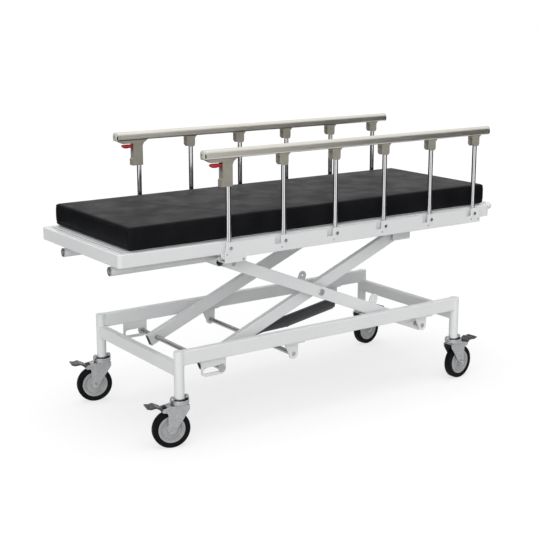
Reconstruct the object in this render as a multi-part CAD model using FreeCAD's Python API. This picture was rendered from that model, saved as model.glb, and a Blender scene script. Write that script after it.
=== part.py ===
import FreeCAD, Part
import math
import os
from FreeCAD import Vector

# Patient transport stretcher: a scissor-lifted bed on four braked castors.
# Units are millimetres. The origin is on the floor, midway between the four legs.
# +X points to the head end with the push handle, +Y to the right side of a patient
# who lies on the bed, +Z up. The bed stands at its highest, as photographed.

# Castors
wheel_diameter = 150.0
wheel_width = 32.0
tread_depth = 21.0
tread_shoulder = 7.0
tread_draft = 2.0
hub_diameter = 34.0
hub_web = 12.0
rim_band = 8.0
castor_trail = 36.0
castor_height = 196.0
axle_diameter = 12.0
axle_nut = 20.0
axle_nut_height = 7.0
fork_gap = 44.0
fork_plate = 3.0
fork_lug_diameter = 32.0
swivel_head_diameter = 74.0
swivel_head_height = 20.0
swivel_gap = 0.3
swivel_recess = 6.0
swivel_seat_diameter = 34.0
stem_diameter = 16.0
stem_length = 27.0
stem_plug_height = 30.0
flange_height = 5.0
flange_diameter = 46.0
flange_ear_reach = 31.0
flange_ear_diameter = 20.0
flange_bolt_diameter = 13.0
flange_bolt_height = 7.0
nose_reach = 70.0
nose_drop = 17.0
pedal_pin_diameter = 6.0
pedal_pin_engagement = 8.0
pedal_barrel_diameter = 13.0
pedal_side_play = 1.0
pedal_reach = 66.0
pedal_rise = 24.0
pedal_thickness = 5.0
pedal_overhang = 5.0
foot_castor_turn = 166.0
head_castor_turn = 6.0

# Base frame
leg_spacing_x = 1432.0
leg_spacing_y = 654.0
leg_diameter = 40.0
tube_wall = 2.0
tube_corner = 3.0
base_top = 380.0
rail_height = 56.0
rail_width = 30.0
end_tube_drop = 49.0
end_tube_height = 50.0
end_tube_width = 30.0
bracket_plate = 6.0
bracket_inset = 7.0
bracket_tip_diameter = 42.0
bracket_foot_side = 46.0
bracket_head_side = 23.0
bracket_flange_half = 45.0
bracket_flange_thickness = 5.0
bracket_flange_width = 24.0
guide_wall = 8.0
guide_wall_below = 12.0

# Scissor lift
lift_angle = 22.5
lift_drop = 12.5
foot_pivot_height = 278.0
main_foot_x = 530.0
brace_foot_x = -522.0
upper_arm = 470.0
arm_depth = 50.0
main_arm_width = 30.0
brace_arm_width = 28.0
arm_wall = 2.5
main_arm_y = 245.0
brace_arm_y = 192.0
arm_foot_overhang = 34.0
main_arm_top_overhang = 50.0
arm_mitre_rise = 19.0
arm_cut_allowance = 180.0
shaft_diameter = 20.0
running_clearance = 0.05
slide_clearance = 0.35
slide_shoe_diameter = 24.0
shoe_width = 9.0
slide_pin_diameter = 12.0
slide_washer = 3.0
slide_washer_overlap = 4.0
slot_end_play = 1.0
centre_bolt_diameter = 28.0
centre_bolt_height = 5.0
centre_bolt_gap = 0.3
lug_place = 268.0
lug_width = 40.0
lug_rise = 42.0
lug_thickness = 6.0
lug_hole_diameter = 11.0

# Hydraulic ram
ram_foot_x = -172.0
ram_foot_z = 272.0
ram_bar_distance = 214.0
ram_bar_diameter = 24.0
ram_body_diameter = 50.0
ram_neck_diameter = 18.0
ram_neck_end = 70.0
ram_shoulder = 192.0
ram_body_end = 454.0
ram_gland_length = 8.0
ram_gland_step = 3.0
ram_rod_diameter = 18.0
ram_rod_gap = 0.3
ram_rod_inner_end = 330.0
ram_well_depth = 40.0
ram_eye_width = 22.0
ram_eye_wall = 7.0
open_pivot_clearance = 2.2

# Bed frame
bed_foot_x = -963.0
bed_head_x = 905.0
bed_half_width = 334.0
bed_top = 785.0
bed_tube_height = 51.0
bed_tube_width = 30.0
bed_corner = 16.0
cross_tube_height = 45.0
cross_tube_width = 30.0
cross_tube_spots = (-880.0, -510.0, -430.0, 4.0, 470.0, 840.0)
deck_thickness = 12.0
deck_rise = 3.0
deck_gap = 2.0
under_tube_diameter = 36.0
under_tube_y = 201.0
under_tube_drop = 88.0
under_tube_foot_x = -933.0
under_cross_reach = 300.0
under_cap_length = 10.0
under_cap_rim = 3.0
under_cap_dimple = 16.0
saddle_length = 24.0
saddle_width = 18.0
hinge_plate = 8.0
hinge_plate_inset = 11.0
hinge_plate_half = 42.0
hinge_plate_wall = 12.0
track_wall = 3.0
track_foot_side = 20.0
track_end = 20.0
track_side_gap = 6.0
track_lip = 1.0
track_room = 4.0

# Push handle
handle_diameter = 28.0
handle_projection = 58.0
handle_drop = 14.0
handle_inset = 30.0
handle_bend = 36.0

# Mattress
mattress_foot_x = -911.0
mattress_head_x = 885.0
mattress_half_width = 319.0
mattress_thickness = 94.0
mattress_corner = 14.0
mattress_gap = 0.3

# Side rails
post_count = 6
post_pitch = 256.9
first_post_x = -501.0
post_y = 349.5
post_diameter = 20.0
post_wall = 1.5
post_length = 321.0
post_foot_drop = 23.0
post_end_diameter = 22.0
post_end_flat = 0.5
post_plug_length = 24.0
post_pin_diameter = 8.0
post_pin_head = 14.0
post_pin_head_height = 4.0
channel_foot_reach = 26.0
channel_head_reach = 34.0
channel_height = 63.0
channel_width = 30.0
channel_wall = 3.0
notch_near = 21.0
notch_far = 49.0
notch_height = 33.0
foot_block_length = 98.0
foot_block_height = 18.0
foot_block_depth = 24.0
top_rail_rise = 24.0
top_rail_height = 36.0
top_rail_width = 34.0
top_rail_wall = 2.5
top_rail_foot_reach = 111.0
top_rail_head_reach = 73.0
top_rail_round = 15.0
top_rail_lower_round = 7.0
end_cap_length = 6.0
clevis_height = 46.0
clevis_foot_side = 27.0
clevis_head_side = 14.0
clevis_taper = 9.0
clevis_ear = 4.0
clevis_ear_gap = 0.4
clevis_web = 10.0
housing_height = 107.0
housing_foot_side = 32.0
housing_head_side = 12.0
housing_wing = 13.0
housing_flare = 24.0
housing_collar = 5.0
housing_collar_height = 26.0
housing_wall = 3.0
lever_drop = 25.0
lever_pivot_side = 24.0
lever_reach = 66.0
lever_thickness = 10.0
lever_width = 16.0
lever_pin_diameter = 5.0
lever_eye_diameter = 17.0

# Worked-out places
half_x = leg_spacing_x / 2
half_y = leg_spacing_y / 2
wheel_radius = wheel_diameter / 2
rim_radius = wheel_radius - tread_depth
fork_top = castor_height - flange_height - swivel_gap
crown_z = fork_top - swivel_head_height
pedal_z = crown_z - nose_drop
tilt = math.radians(lift_angle)
low_tilt = math.radians(lift_angle - lift_drop)
lower_arm = (main_foot_x - brace_foot_x) / 2 / math.cos(tilt)
centre_x = (main_foot_x + brace_foot_x) / 2
centre_z = foot_pivot_height + lower_arm * math.sin(tilt)
bed_pivot_x = centre_x - upper_arm * math.cos(tilt)
bed_pivot_z = centre_z + upper_arm * math.sin(tilt)
brace_top_x = centre_x + upper_arm * math.cos(tilt)
foot_shoe_travel = 2 * lower_arm * (math.cos(low_tilt) - math.cos(tilt))
head_shoe_travel = 2 * upper_arm * (math.cos(low_tilt) - math.cos(tilt))
ram_bar_x = main_foot_x - ram_bar_distance * math.cos(tilt)
ram_bar_z = foot_pivot_height + ram_bar_distance * math.sin(tilt)
ram_length = math.hypot(ram_bar_x - ram_foot_x, ram_bar_z - ram_foot_z)
ram_tilt = math.degrees(math.atan2(ram_bar_z - ram_foot_z, ram_bar_x - ram_foot_x))
main_arm_outer = main_arm_y + main_arm_width
brace_arm_outer = brace_arm_y + brace_arm_width
rail_bottom = base_top - rail_height
end_tube_top = base_top - end_tube_drop
end_tube_bottom = end_tube_top - end_tube_height
bracket_y = half_y - bracket_inset
shaft_reach = bracket_y + bracket_plate / 2
slot_radius = slide_shoe_diameter / 2 + slide_clearance
guide_foot_x = brace_foot_x - foot_shoe_travel - slot_end_play - slot_radius - guide_wall
guide_head_x = brace_foot_x + slot_end_play + slot_radius + guide_wall
foot_shoe_inner = bracket_y - shoe_width / 2
head_shoe_inner = brace_arm_outer + track_side_gap
bed_bottom = bed_top - bed_tube_height
bed_inner = bed_half_width - bed_tube_width
deck_top = bed_top + deck_rise
deck_bottom = deck_top - deck_thickness
cross_tube_bottom = deck_bottom - cross_tube_height
under_tube_z = bed_top - under_tube_drop
under_cross_x = cross_tube_spots[1]
post_xs = [first_post_x + i * post_pitch for i in range(post_count)]
post_foot_z = bed_top - post_foot_drop
post_top_z = post_foot_z + post_length
channel_bottom = bed_top - channel_height
channel_foot_x = post_xs[0] - channel_foot_reach
channel_head_x = post_xs[-1] + channel_head_reach
channel_outer = bed_half_width + channel_width
top_rail_bottom = post_top_z + top_rail_rise
top_rail_top = top_rail_bottom + top_rail_height
top_rail_foot_x = post_xs[0] - top_rail_foot_reach
top_rail_head_x = post_xs[-1] + top_rail_head_reach
clevis_gap = post_diameter / 2 + clevis_ear_gap
clevis_outer = clevis_gap + clevis_ear
lever_x = post_xs[0] - lever_pivot_side
lever_z = top_rail_bottom - lever_drop
side_names = {-1: "left", 1: "right"}
along_x = Vector(1, 0, 0)
along_y = Vector(0, 1, 0)
along_z = Vector(0, 0, 1)

os.makedirs("parts", exist_ok=True)


def save(name, solids):
    """Write one sub-part, a single solid or a group of separate solids."""
    group = solids if isinstance(solids, list) else [solids]
    shape = group[0] if len(group) == 1 else Part.makeCompound(group)
    shape.exportStep("parts/" + name + ".step")


def block(x0, x1, y0, y1, z0, z1):
    """A box between two corners, given in any order."""
    low = Vector(min(x0, x1), min(y0, y1), min(z0, z1))
    return Part.makeBox(abs(x1 - x0), abs(y1 - y0), abs(z1 - z0), low)


def rod_x(y, z, diameter, x0, x1):
    """A round bar that runs along X."""
    return Part.makeCylinder(diameter / 2, abs(x1 - x0), Vector(min(x0, x1), y, z), along_x)


def rod_y(x, z, diameter, y0, y1):
    """A round bar that runs along Y."""
    return Part.makeCylinder(diameter / 2, abs(y1 - y0), Vector(x, min(y0, y1), z), along_y)


def rod_z(x, y, diameter, z0, z1):
    """A round bar that runs along Z."""
    return Part.makeCylinder(diameter / 2, abs(z1 - z0), Vector(x, y, min(z0, z1)), along_z)


def plate_xz(points, y0, y1):
    """A flat plate with an outline of straight lines in the XZ plane."""
    corners = [Vector(x, min(y0, y1), z) for x, z in points]
    face = Part.Face(Part.makePolygon(corners + [corners[0]]))
    return face.extrude(Vector(0, abs(y1 - y0), 0))


def runs_along(edge, axis):
    """True for a straight edge parallel to the axis."""
    if not isinstance(edge.Curve, Part.Line):
        return False
    return abs(edge.Curve.Direction.dot(axis)) > 0.999


def soften(solid, radius, test):
    """Round the edges of a solid for which test(edge) is true."""
    return solid.makeFillet(radius, [edge for edge in solid.Edges if test(edge)])


def box_tube(x0, x1, y0, y1, z0, z1, wall, axis):
    """A rectangular tube along X or Y with open ends and rounded corners."""
    inset_x = 0 if axis.x else wall
    inset_y = 0 if axis.y else wall
    outer = soften(block(x0, x1, y0, y1, z0, z1), tube_corner, lambda edge: runs_along(edge, axis))
    core = block(x0 + inset_x, x1 - inset_x, y0 + inset_y, y1 - inset_y, z0 + wall, z1 - wall)
    return outer.cut(core)


# Base frame: two end frames of round legs and a cross tube, and two long rails
def leg(x, y):
    """One round leg, open at its foot for the castor's plug and closed at its top."""
    tube = rod_z(x, y, leg_diameter, castor_height, base_top)
    bore = rod_z(x, y, leg_diameter - 2 * tube_wall, castor_height, base_top - tube_wall)
    return tube.cut(bore)


def castor_stem(x, y):
    """The fixed steel stem of a castor: a plug in the leg, a bolted flange and a king pin."""
    low = castor_height - flange_height
    half_ear = flange_ear_diameter / 2
    stem = rod_z(x, y, leg_diameter - 2 * tube_wall, castor_height, castor_height + stem_plug_height)
    stem = stem.fuse(rod_z(x, y, flange_diameter, low, castor_height))
    stem = stem.fuse(rod_z(x, y, stem_diameter, low - stem_length, low))
    stem = stem.fuse(block(x - flange_ear_reach, x + flange_ear_reach, y - half_ear, y + half_ear,
                           low, castor_height))
    for bolt_x in (x - flange_ear_reach, x + flange_ear_reach):
        stem = stem.fuse(rod_z(bolt_x, y, flange_ear_diameter, low, castor_height))
        stem = stem.fuse(rod_z(bolt_x, y, flange_bolt_diameter, low, castor_height + flange_bolt_height))
    return stem.removeSplitter()


def end_frame(x):
    """Two legs, their castor stems and a cross tube, cut to fit the legs and the rails."""
    half = end_tube_width / 2
    cross = box_tube(x - half, x + half, -half_y, half_y, end_tube_bottom, end_tube_top, tube_wall, along_y)
    parts = []
    for side in (-1, 1):
        y = side * half_y
        cross = cross.cut(rod_z(x, y, leg_diameter, castor_height, base_top))
        rail_room = block(x - half, x + half, y - rail_width / 2, y + rail_width / 2, rail_bottom, base_top)
        cross = cross.cut(rail_room)
        parts.append(leg(x, y))
        parts.append(castor_stem(x, y))
    return parts + [cross]


def hanging_bracket(x, z, side):
    """A tapered plate under a base rail, round at its tip for its shaft, with a foot flange."""
    y0 = side * bracket_y - bracket_plate / 2
    y1 = side * bracket_y + bracket_plate / 2
    tip = bracket_tip_diameter / 2
    outline = [(x - bracket_foot_side, rail_bottom), (x - tip, z), (x + tip, z),
               (x + bracket_head_side, rail_bottom)]
    plate = plate_xz(outline, y0, y1).fuse(rod_y(x, z, bracket_tip_diameter, y0, y1))
    half = bracket_flange_width / 2
    flange = block(x - bracket_foot_side, x + bracket_flange_half, side * half_y - half, side * half_y + half,
                   rail_bottom - bracket_flange_thickness, rail_bottom)
    shaft_seat = rod_y(x, z, shaft_diameter, y0, y1)
    return plate.fuse(flange).removeSplitter().cut(shaft_seat)


def guide_bracket(side):
    """A slotted plate under the base rail, in which the brace arms' foot axle slides."""
    y0 = side * bracket_y - bracket_plate / 2
    y1 = side * bracket_y + bracket_plate / 2
    low = foot_pivot_height - slot_radius - guide_wall_below
    plate = block(guide_foot_x, guide_head_x, y0, y1, low, rail_bottom)
    plate = soften(plate, slot_radius + guide_wall,
                   lambda edge: runs_along(edge, along_y) and edge.BoundBox.ZMax < low + 1)
    slot_foot = guide_foot_x + guide_wall + slot_radius
    slot_head = guide_head_x - guide_wall - slot_radius
    slot = block(slot_foot, slot_head, y0, y1,
                 foot_pivot_height - slot_radius, foot_pivot_height + slot_radius)
    for x in (slot_foot, slot_head):
        slot = slot.fuse(rod_y(x, foot_pivot_height, 2 * slot_radius, y0, y1))
    return plate.cut(slot)


def base_rail(side):
    """A long rail cut to fit its legs, with the three brackets welded under it."""
    y0 = side * half_y - rail_width / 2
    y1 = side * half_y + rail_width / 2
    rail = box_tube(-half_x, half_x, y0, y1, rail_bottom, base_top, tube_wall, along_x)
    for x in (-half_x, half_x):
        rail = rail.cut(rod_z(x, side * half_y, leg_diameter, castor_height, base_top))
    ram_bracket = hanging_bracket(ram_foot_x, ram_foot_z, side)
    pivot_bracket = hanging_bracket(main_foot_x, foot_pivot_height, side)
    return [rail, guide_bracket(side), ram_bracket, pivot_bracket]


save("foot_end_frame", end_frame(-half_x))
save("head_end_frame", end_frame(half_x))
for side in (-1, 1):
    save("base_rail_" + side_names[side], base_rail(side))
save("ram_mount_shaft", rod_y(ram_foot_x, ram_foot_z, shaft_diameter, -shaft_reach, shaft_reach))
save("main_pivot_shaft", rod_y(main_foot_x, foot_pivot_height, shaft_diameter, -shaft_reach, shaft_reach))


# Scissor lift: main arms from the head end of the base to the foot end of the bed,
# and brace arms that cross them and slide at both ends
def arm_tube(y_inner, width, side, back, front):
    """A rectangular tube in the arm's own frame, along X with the centre pivot at its origin."""
    y0 = min(side * y_inner, side * (y_inner + width))
    return box_tube(-back, front, y0, y0 + width, -arm_depth / 2, arm_depth / 2, arm_wall, along_x)


def lean(solid, degrees):
    """Turn an arm about the centre pivot and put it in its place."""
    solid.rotate(Vector(0, 0, 0), along_y, degrees)
    solid.translate(Vector(centre_x, 0, centre_z))
    return solid


def above_mitre():
    """The space above the level cut at the top ends of all the arms."""
    mitre_z = bed_pivot_z + arm_mitre_rise
    return block(bed_foot_x, bed_head_x, -bed_half_width, bed_half_width, mitre_z, bed_top)


def arm_bore(x, z, clearance):
    """The hole for a shaft through both walls of an arm."""
    return rod_y(x, z, shaft_diameter + 2 * clearance, -bed_half_width, bed_half_width)


def mounting_lug(side):
    """A small plate with a hole, welded on top of a main arm, in the arm's own frame."""
    x = lower_arm - lug_place
    y0 = side * (main_arm_y + main_arm_width / 2) - lug_thickness / 2
    y1 = y0 + lug_thickness
    hole_z = arm_depth / 2 + lug_rise - lug_width / 2
    plate = block(x - lug_width / 2, x + lug_width / 2, y0, y1, arm_depth / 2, hole_z)
    plate = plate.fuse(rod_y(x, hole_z, lug_width, y0, y1))
    return plate.cut(rod_y(x, hole_z, lug_hole_diameter, y0, y1))


def main_arm(side):
    """An outer arm: turns on the base at its foot and carries the bed near its top."""
    back = upper_arm + arm_cut_allowance
    tube = arm_tube(main_arm_y, main_arm_width, side, back, lower_arm + arm_foot_overhang)
    arm = lean(tube.fuse(mounting_lug(side)), lift_angle)
    end_x = bed_pivot_x - main_arm_top_overhang
    beyond_end = block(bed_foot_x, end_x, -bed_half_width, bed_half_width, rail_bottom, bed_top)
    arm = arm.cut(above_mitre()).cut(beyond_end)
    for x, z, clearance in ((main_foot_x, foot_pivot_height, running_clearance),
                            (centre_x, centre_z, running_clearance),
                            (bed_pivot_x, bed_pivot_z, 0.0)):
        arm = arm.cut(arm_bore(x, z, clearance))
    return arm


def brace_arm(side):
    """An inner arm: slides along the base at its foot and under the bed at its top."""
    front = upper_arm + arm_cut_allowance
    tube = arm_tube(brace_arm_y, brace_arm_width, side, lower_arm + arm_foot_overhang, front)
    arm = lean(tube, -lift_angle).cut(above_mitre())
    for x, z in ((brace_foot_x, foot_pivot_height), (centre_x, centre_z), (brace_top_x, bed_pivot_z)):
        arm = arm.cut(arm_bore(x, z, 0.0))
    return arm


def centre_shaft():
    """The shaft through the crossing of the arms, with a round head outside each main arm."""
    head_start = main_arm_outer + centre_bolt_gap
    head_end = head_start + centre_bolt_height
    shaft = rod_y(centre_x, centre_z, shaft_diameter, -head_start, head_start)
    for side in (-1, 1):
        head = rod_y(centre_x, centre_z, centre_bolt_diameter, side * head_start, side * head_end)
        rim_edges = [edge for edge in head.Edges if abs(edge.CenterOfMass.y) > head_end - 0.1]
        shaft = shaft.fuse(head.makeChamfer(centre_bolt_height / 2, rim_edges))
    return shaft.removeSplitter()


def slide_axle(x, z, shoe_inner, washer_diameter):
    """An axle through both brace arms with a nylon shoe and an end washer at each end."""
    shoe_outer = shoe_inner + shoe_width
    axle = rod_y(x, z, shaft_diameter, -shoe_inner, shoe_inner)
    shoes = []
    for side in (-1, 1):
        pin = rod_y(x, z, slide_pin_diameter, side * shoe_inner, side * shoe_outer)
        cap = rod_y(x, z, washer_diameter, side * shoe_outer, side * (shoe_outer + slide_washer))
        axle = axle.fuse(pin).fuse(cap)
        shoes.append(rod_y(x, z, slide_shoe_diameter, side * shoe_inner, side * shoe_outer).cut(pin))
    return [axle.removeSplitter()] + shoes


for side in (-1, 1):
    save("main_arm_" + side_names[side], main_arm(side))
    save("brace_arm_" + side_names[side], brace_arm(side))
save("ram_cross_bar", rod_y(ram_bar_x, ram_bar_z, ram_bar_diameter, -main_arm_y, main_arm_y))
save("bed_pivot_shaft", rod_y(bed_pivot_x, bed_pivot_z, shaft_diameter, -main_arm_outer, main_arm_outer))
save("centre_pivot_shaft", centre_shaft())
save("foot_slide_axle", slide_axle(brace_foot_x, foot_pivot_height, foot_shoe_inner,
                                   slide_shoe_diameter + 2 * slide_washer_overlap))
save("head_slide_axle", slide_axle(brace_top_x, bed_pivot_z, head_shoe_inner, slide_shoe_diameter))


# Hydraulic ram between the base and the main arms, built along X and then tilted
def tilt_ram(solid):
    """Lay a piece of the ram on its line from the base shaft to the arms' cross bar."""
    solid.rotate(Vector(0, 0, 0), along_y, -ram_tilt)
    solid.translate(Vector(ram_foot_x, 0, ram_foot_z))
    return solid


def turned_x(profile):
    """A solid of revolution about X from (distance, radius) points."""
    start, end = profile[0][0], profile[-1][0]
    points = [Vector(start, 0, 0)] + [Vector(x, 0, r) for x, r in profile] + [Vector(end, 0, 0)]
    face = Part.Face(Part.makePolygon(points + [points[0]]))
    return face.revolve(Vector(0, 0, 0), along_x, 360)


def ram_cylinder():
    """The pump body: an eye on the base shaft, a long tapered nose and a straight barrel."""
    neck = ram_neck_diameter / 2
    body = ram_body_diameter / 2
    gland = ram_body_end - ram_gland_length
    profile = [(0.0, neck), (ram_neck_end, neck), (ram_shoulder, body), (gland - ram_gland_step, body),
               (gland, body - ram_gland_step), (ram_body_end, body - ram_gland_step)]
    eye = rod_y(0, 0, shaft_diameter + 2 * ram_eye_wall, -ram_eye_width / 2, ram_eye_width / 2)
    bore = rod_y(0, 0, shaft_diameter + 2 * running_clearance, -ram_eye_width, ram_eye_width)
    well = rod_x(0, 0, ram_rod_diameter + 2 * ram_rod_gap, ram_rod_inner_end - ram_well_depth, ram_body_end)
    return tilt_ram(turned_x(profile).fuse(eye).cut(bore).cut(well))


def ram_rod():
    """The polished rod, with an eye that keeps a clearance round the cross bar."""
    bar_hole = ram_bar_diameter + 2 * open_pivot_clearance
    rod = rod_x(0, 0, ram_rod_diameter, ram_rod_inner_end, ram_length)
    eye = rod_y(ram_length, 0, bar_hole + 2 * ram_eye_wall, -ram_eye_width / 2, ram_eye_width / 2)
    return tilt_ram(rod.fuse(eye).cut(rod_y(ram_length, 0, bar_hole, -ram_eye_width, ram_eye_width)))


save("ram_cylinder", ram_cylinder())
save("ram_rod", ram_rod())


# Bed frame: a welded ring of tubes, cross tubes under the deck, hinge plates and tracks
def bed_side_tube(side):
    """A side tube of the bed with its outer corners rounded and a solid plug in each end."""
    y0 = min(side * bed_inner, side * bed_half_width)
    y1 = y0 + bed_tube_width
    tube = block(bed_foot_x, bed_head_x, y0, y1, bed_bottom, bed_top)
    tube = soften(tube, bed_corner,
                  lambda edge: runs_along(edge, along_z) and abs(edge.CenterOfMass.y) > bed_half_width - 1)
    tube = soften(tube, tube_corner, lambda edge: runs_along(edge, along_x))
    return tube.cut(block(bed_foot_x + bed_corner, bed_head_x - bed_corner, y0 + tube_wall, y1 - tube_wall,
                          bed_bottom + tube_wall, bed_top - tube_wall))


def bed_ring():
    """Four tubes round the bed, the side tubes running through and the end tubes between them."""
    parts = [bed_side_tube(side) for side in (-1, 1)]
    for x in (bed_foot_x, bed_head_x - bed_tube_width):
        parts.append(box_tube(x, x + bed_tube_width, -bed_inner, bed_inner, bed_bottom, bed_top,
                              tube_wall, along_y))
    return parts


def hinge_plates():
    """A hanging plate inside each main arm with the bearing hole for the bed's pivot shaft."""
    inner = main_arm_y - hinge_plate_inset - hinge_plate
    radius = shaft_diameter / 2 + hinge_plate_wall
    plates = []
    for side in (-1, 1):
        y0 = min(side * inner, side * (inner + hinge_plate))
        y1 = y0 + hinge_plate
        outline = [(bed_pivot_x - hinge_plate_half, cross_tube_bottom), (bed_pivot_x - radius, bed_pivot_z),
                   (bed_pivot_x + radius, bed_pivot_z), (bed_pivot_x + hinge_plate_half, cross_tube_bottom)]
        plate = plate_xz(outline, y0, y1).fuse(rod_y(bed_pivot_x, bed_pivot_z, 2 * radius, y0, y1))
        plates.append(plate.removeSplitter().cut(arm_bore(bed_pivot_x, bed_pivot_z, running_clearance)))
    return plates


def head_tracks():
    """A channel outside each brace arm in which the arm's top shoe slides, hung from a cross tube."""
    lip_y = head_shoe_inner - track_lip
    web_y = head_shoe_inner + shoe_width + track_room
    x0 = brace_top_x - track_foot_side
    x1 = brace_top_x + head_shoe_travel + track_end
    floor_z = bed_pivot_z - slot_radius - track_wall
    roof_z = bed_pivot_z + slot_radius + track_wall
    tracks = []
    for side in (-1, 1):
        web = block(x0, x1, side * web_y, side * (web_y + track_wall), floor_z, roof_z)
        low = block(x0, x1, side * lip_y, side * web_y, floor_z, floor_z + track_wall)
        top = block(x0, x1, side * lip_y, side * web_y, roof_z - track_wall, roof_z)
        hanger = block(x0 + track_end, x1 - track_end, side * web_y, side * (web_y + track_wall),
                       roof_z, cross_tube_bottom)
        tracks.append(web.fuse(low).fuse(top).fuse(hanger).removeSplitter())
    return tracks


def under_cross_tube():
    """The round tube across the bed, open at both ends, that the two under tubes run into."""
    tube = rod_y(under_cross_x, under_tube_z, under_tube_diameter, -under_cross_reach, under_cross_reach)
    bore = under_tube_diameter - 2 * tube_wall
    return tube.cut(rod_y(under_cross_x, under_tube_z, bore, -under_cross_reach, under_cross_reach))


def saddles():
    """Four short posts from the first two cross tubes down to the round tubes under them."""
    half_long, half_wide = saddle_length / 2, saddle_width / 2
    across = rod_y(under_cross_x, under_tube_z, under_tube_diameter, -bed_inner, bed_inner)
    parts = []
    for x in cross_tube_spots[:2]:
        for side in (-1, 1):
            y = side * under_tube_y
            lengthwise = rod_x(y, under_tube_z, under_tube_diameter, bed_foot_x, under_cross_x)
            saddle = block(x - half_long, x + half_long, y - half_wide, y + half_wide,
                           under_tube_z, cross_tube_bottom)
            parts.append(saddle.cut(lengthwise).cut(across))
    return parts


def underframe():
    """Cross tubes under the deck with all that hangs from them."""
    half = cross_tube_width / 2
    parts = []
    for x in cross_tube_spots:
        parts.append(box_tube(x - half, x + half, -bed_inner, bed_inner, cross_tube_bottom, deck_bottom,
                              tube_wall, along_y))
    return parts + hinge_plates() + head_tracks() + [under_cross_tube()] + saddles()


def under_tube(side):
    """A round tube slung under the foot end of the bed, with a cap in its open end."""
    y = side * under_tube_y
    foot = under_tube_foot_x
    bore = under_tube_diameter - 2 * tube_wall
    tube = rod_x(y, under_tube_z, under_tube_diameter, foot, under_cross_x)
    tube = tube.cut(rod_x(y, under_tube_z, bore, foot, under_cross_x))
    tube = tube.cut(rod_y(under_cross_x, under_tube_z, under_tube_diameter, -bed_inner, bed_inner))
    cap = rod_x(y, under_tube_z, bore, foot, foot + under_cap_length)
    rim = rod_x(y, under_tube_z, under_tube_diameter, foot - under_cap_rim, foot)
    dimple = rod_x(y, under_tube_z, under_cap_dimple, foot - under_cap_rim, foot - under_cap_rim / 3)
    return [tube, cap.fuse(rim).cut(dimple).removeSplitter()]


def deck():
    """The deck board, let into the ring and standing a little proud of it."""
    side_edge = bed_inner - deck_gap
    foot = bed_foot_x + bed_tube_width + deck_gap
    head = bed_head_x - bed_tube_width - deck_gap
    board = block(foot, head, -side_edge, side_edge, deck_bottom, deck_top)
    return soften(board, deck_rise / 2, lambda edge: edge.BoundBox.ZMin > deck_top - 0.01)


def push_handle():
    """A bent tube across the head end, its two legs welded to the bed's end."""
    y = bed_half_width - handle_inset
    z = bed_top - handle_drop
    far = bed_head_x + handle_projection - handle_diameter / 2
    straight = far - handle_bend
    turn = math.sqrt(0.5) * handle_bend
    spine = [Part.LineSegment(Vector(bed_head_x, y, z), Vector(straight, y, z)),
             Part.Arc(Vector(straight, y, z), Vector(straight + turn, y - handle_bend + turn, z),
                      Vector(far, y - handle_bend, z)),
             Part.LineSegment(Vector(far, y - handle_bend, z), Vector(far, -y + handle_bend, z)),
             Part.Arc(Vector(far, -y + handle_bend, z), Vector(straight + turn, -y + handle_bend - turn, z),
                      Vector(straight, -y, z)),
             Part.LineSegment(Vector(straight, -y, z), Vector(bed_head_x, -y, z))]
    path = Part.Wire([piece.toShape() for piece in spine])
    start = Vector(bed_head_x, y, z)
    outer = Part.Wire(Part.makeCircle(handle_diameter / 2, start, along_x))
    inner = Part.Wire(Part.makeCircle(handle_diameter / 2 - tube_wall, start, along_x))
    return path.makePipeShell([outer], True, False).cut(path.makePipeShell([inner], True, False))


def mattress():
    """The foam mattress in its cover, a closed slab with rounded edges."""
    low = deck_top + mattress_gap
    slab = block(mattress_foot_x, mattress_head_x, -mattress_half_width, mattress_half_width,
                 low, low + mattress_thickness)
    return soften(slab, mattress_corner, lambda edge: True)


save("bed_frame", bed_ring())
save("bed_underframe", underframe())
save("deck_board", deck())
save("push_handle", push_handle())
save("mattress", mattress())
for side in (-1, 1):
    save("under_tube_" + side_names[side], under_tube(side))


# Side rails: a base channel on the bed, six posts that fold to the foot end, and a top rail
def post_bolt(x, side):
    """The bolt across the channel on which a post folds, with a round head outside."""
    bolt = rod_y(x, post_foot_z, post_pin_diameter, side * bed_half_width, side * channel_outer)
    head_top = channel_outer + post_pin_head_height
    head = rod_y(x, post_foot_z, post_pin_head, side * channel_outer, side * head_top)
    return bolt.fuse(head).removeSplitter()


def foot_block(side):
    """A hollow block under the channel's foot end, closed on its head side."""
    x0, x1 = channel_foot_x, channel_foot_x + foot_block_length
    y0, y1 = bed_half_width - foot_block_depth, channel_outer
    z0, z1 = channel_bottom - foot_block_height, channel_bottom
    wall = channel_wall
    body = block(x0, x1, side * y0, side * y1, z0, z1)
    body = body.cut(block(x0, x1 - wall, side * (y0 + wall), side * (y1 - wall), z0 + wall, z1 - wall))
    return body.cut(block(x0, x1, side * y0, side * bed_half_width, bed_bottom, bed_top))


def rail_channel(side):
    """The base channel, open at its top, with its notches, the posts' bolts and a foot block."""
    y0, y1 = bed_half_width, channel_outer
    channel = block(channel_foot_x, channel_head_x, side * y0, side * y1, channel_bottom, bed_top)
    channel = channel.cut(block(channel_foot_x, channel_head_x, side * (y0 + channel_wall),
                                side * (y1 - channel_wall), channel_bottom + channel_wall, bed_top))
    for x in post_xs:
        notch_foot = max(x - notch_far, channel_foot_x)
        channel = channel.cut(block(notch_foot, x - notch_near, side * (y1 - channel_wall), side * y1,
                                    bed_top - notch_height, bed_top))
        channel = channel.cut(rod_y(x, post_foot_z, post_pin_diameter, side * y0, side * y1))
    return [channel, foot_block(side)] + [post_bolt(x, side) for x in post_xs]


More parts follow.
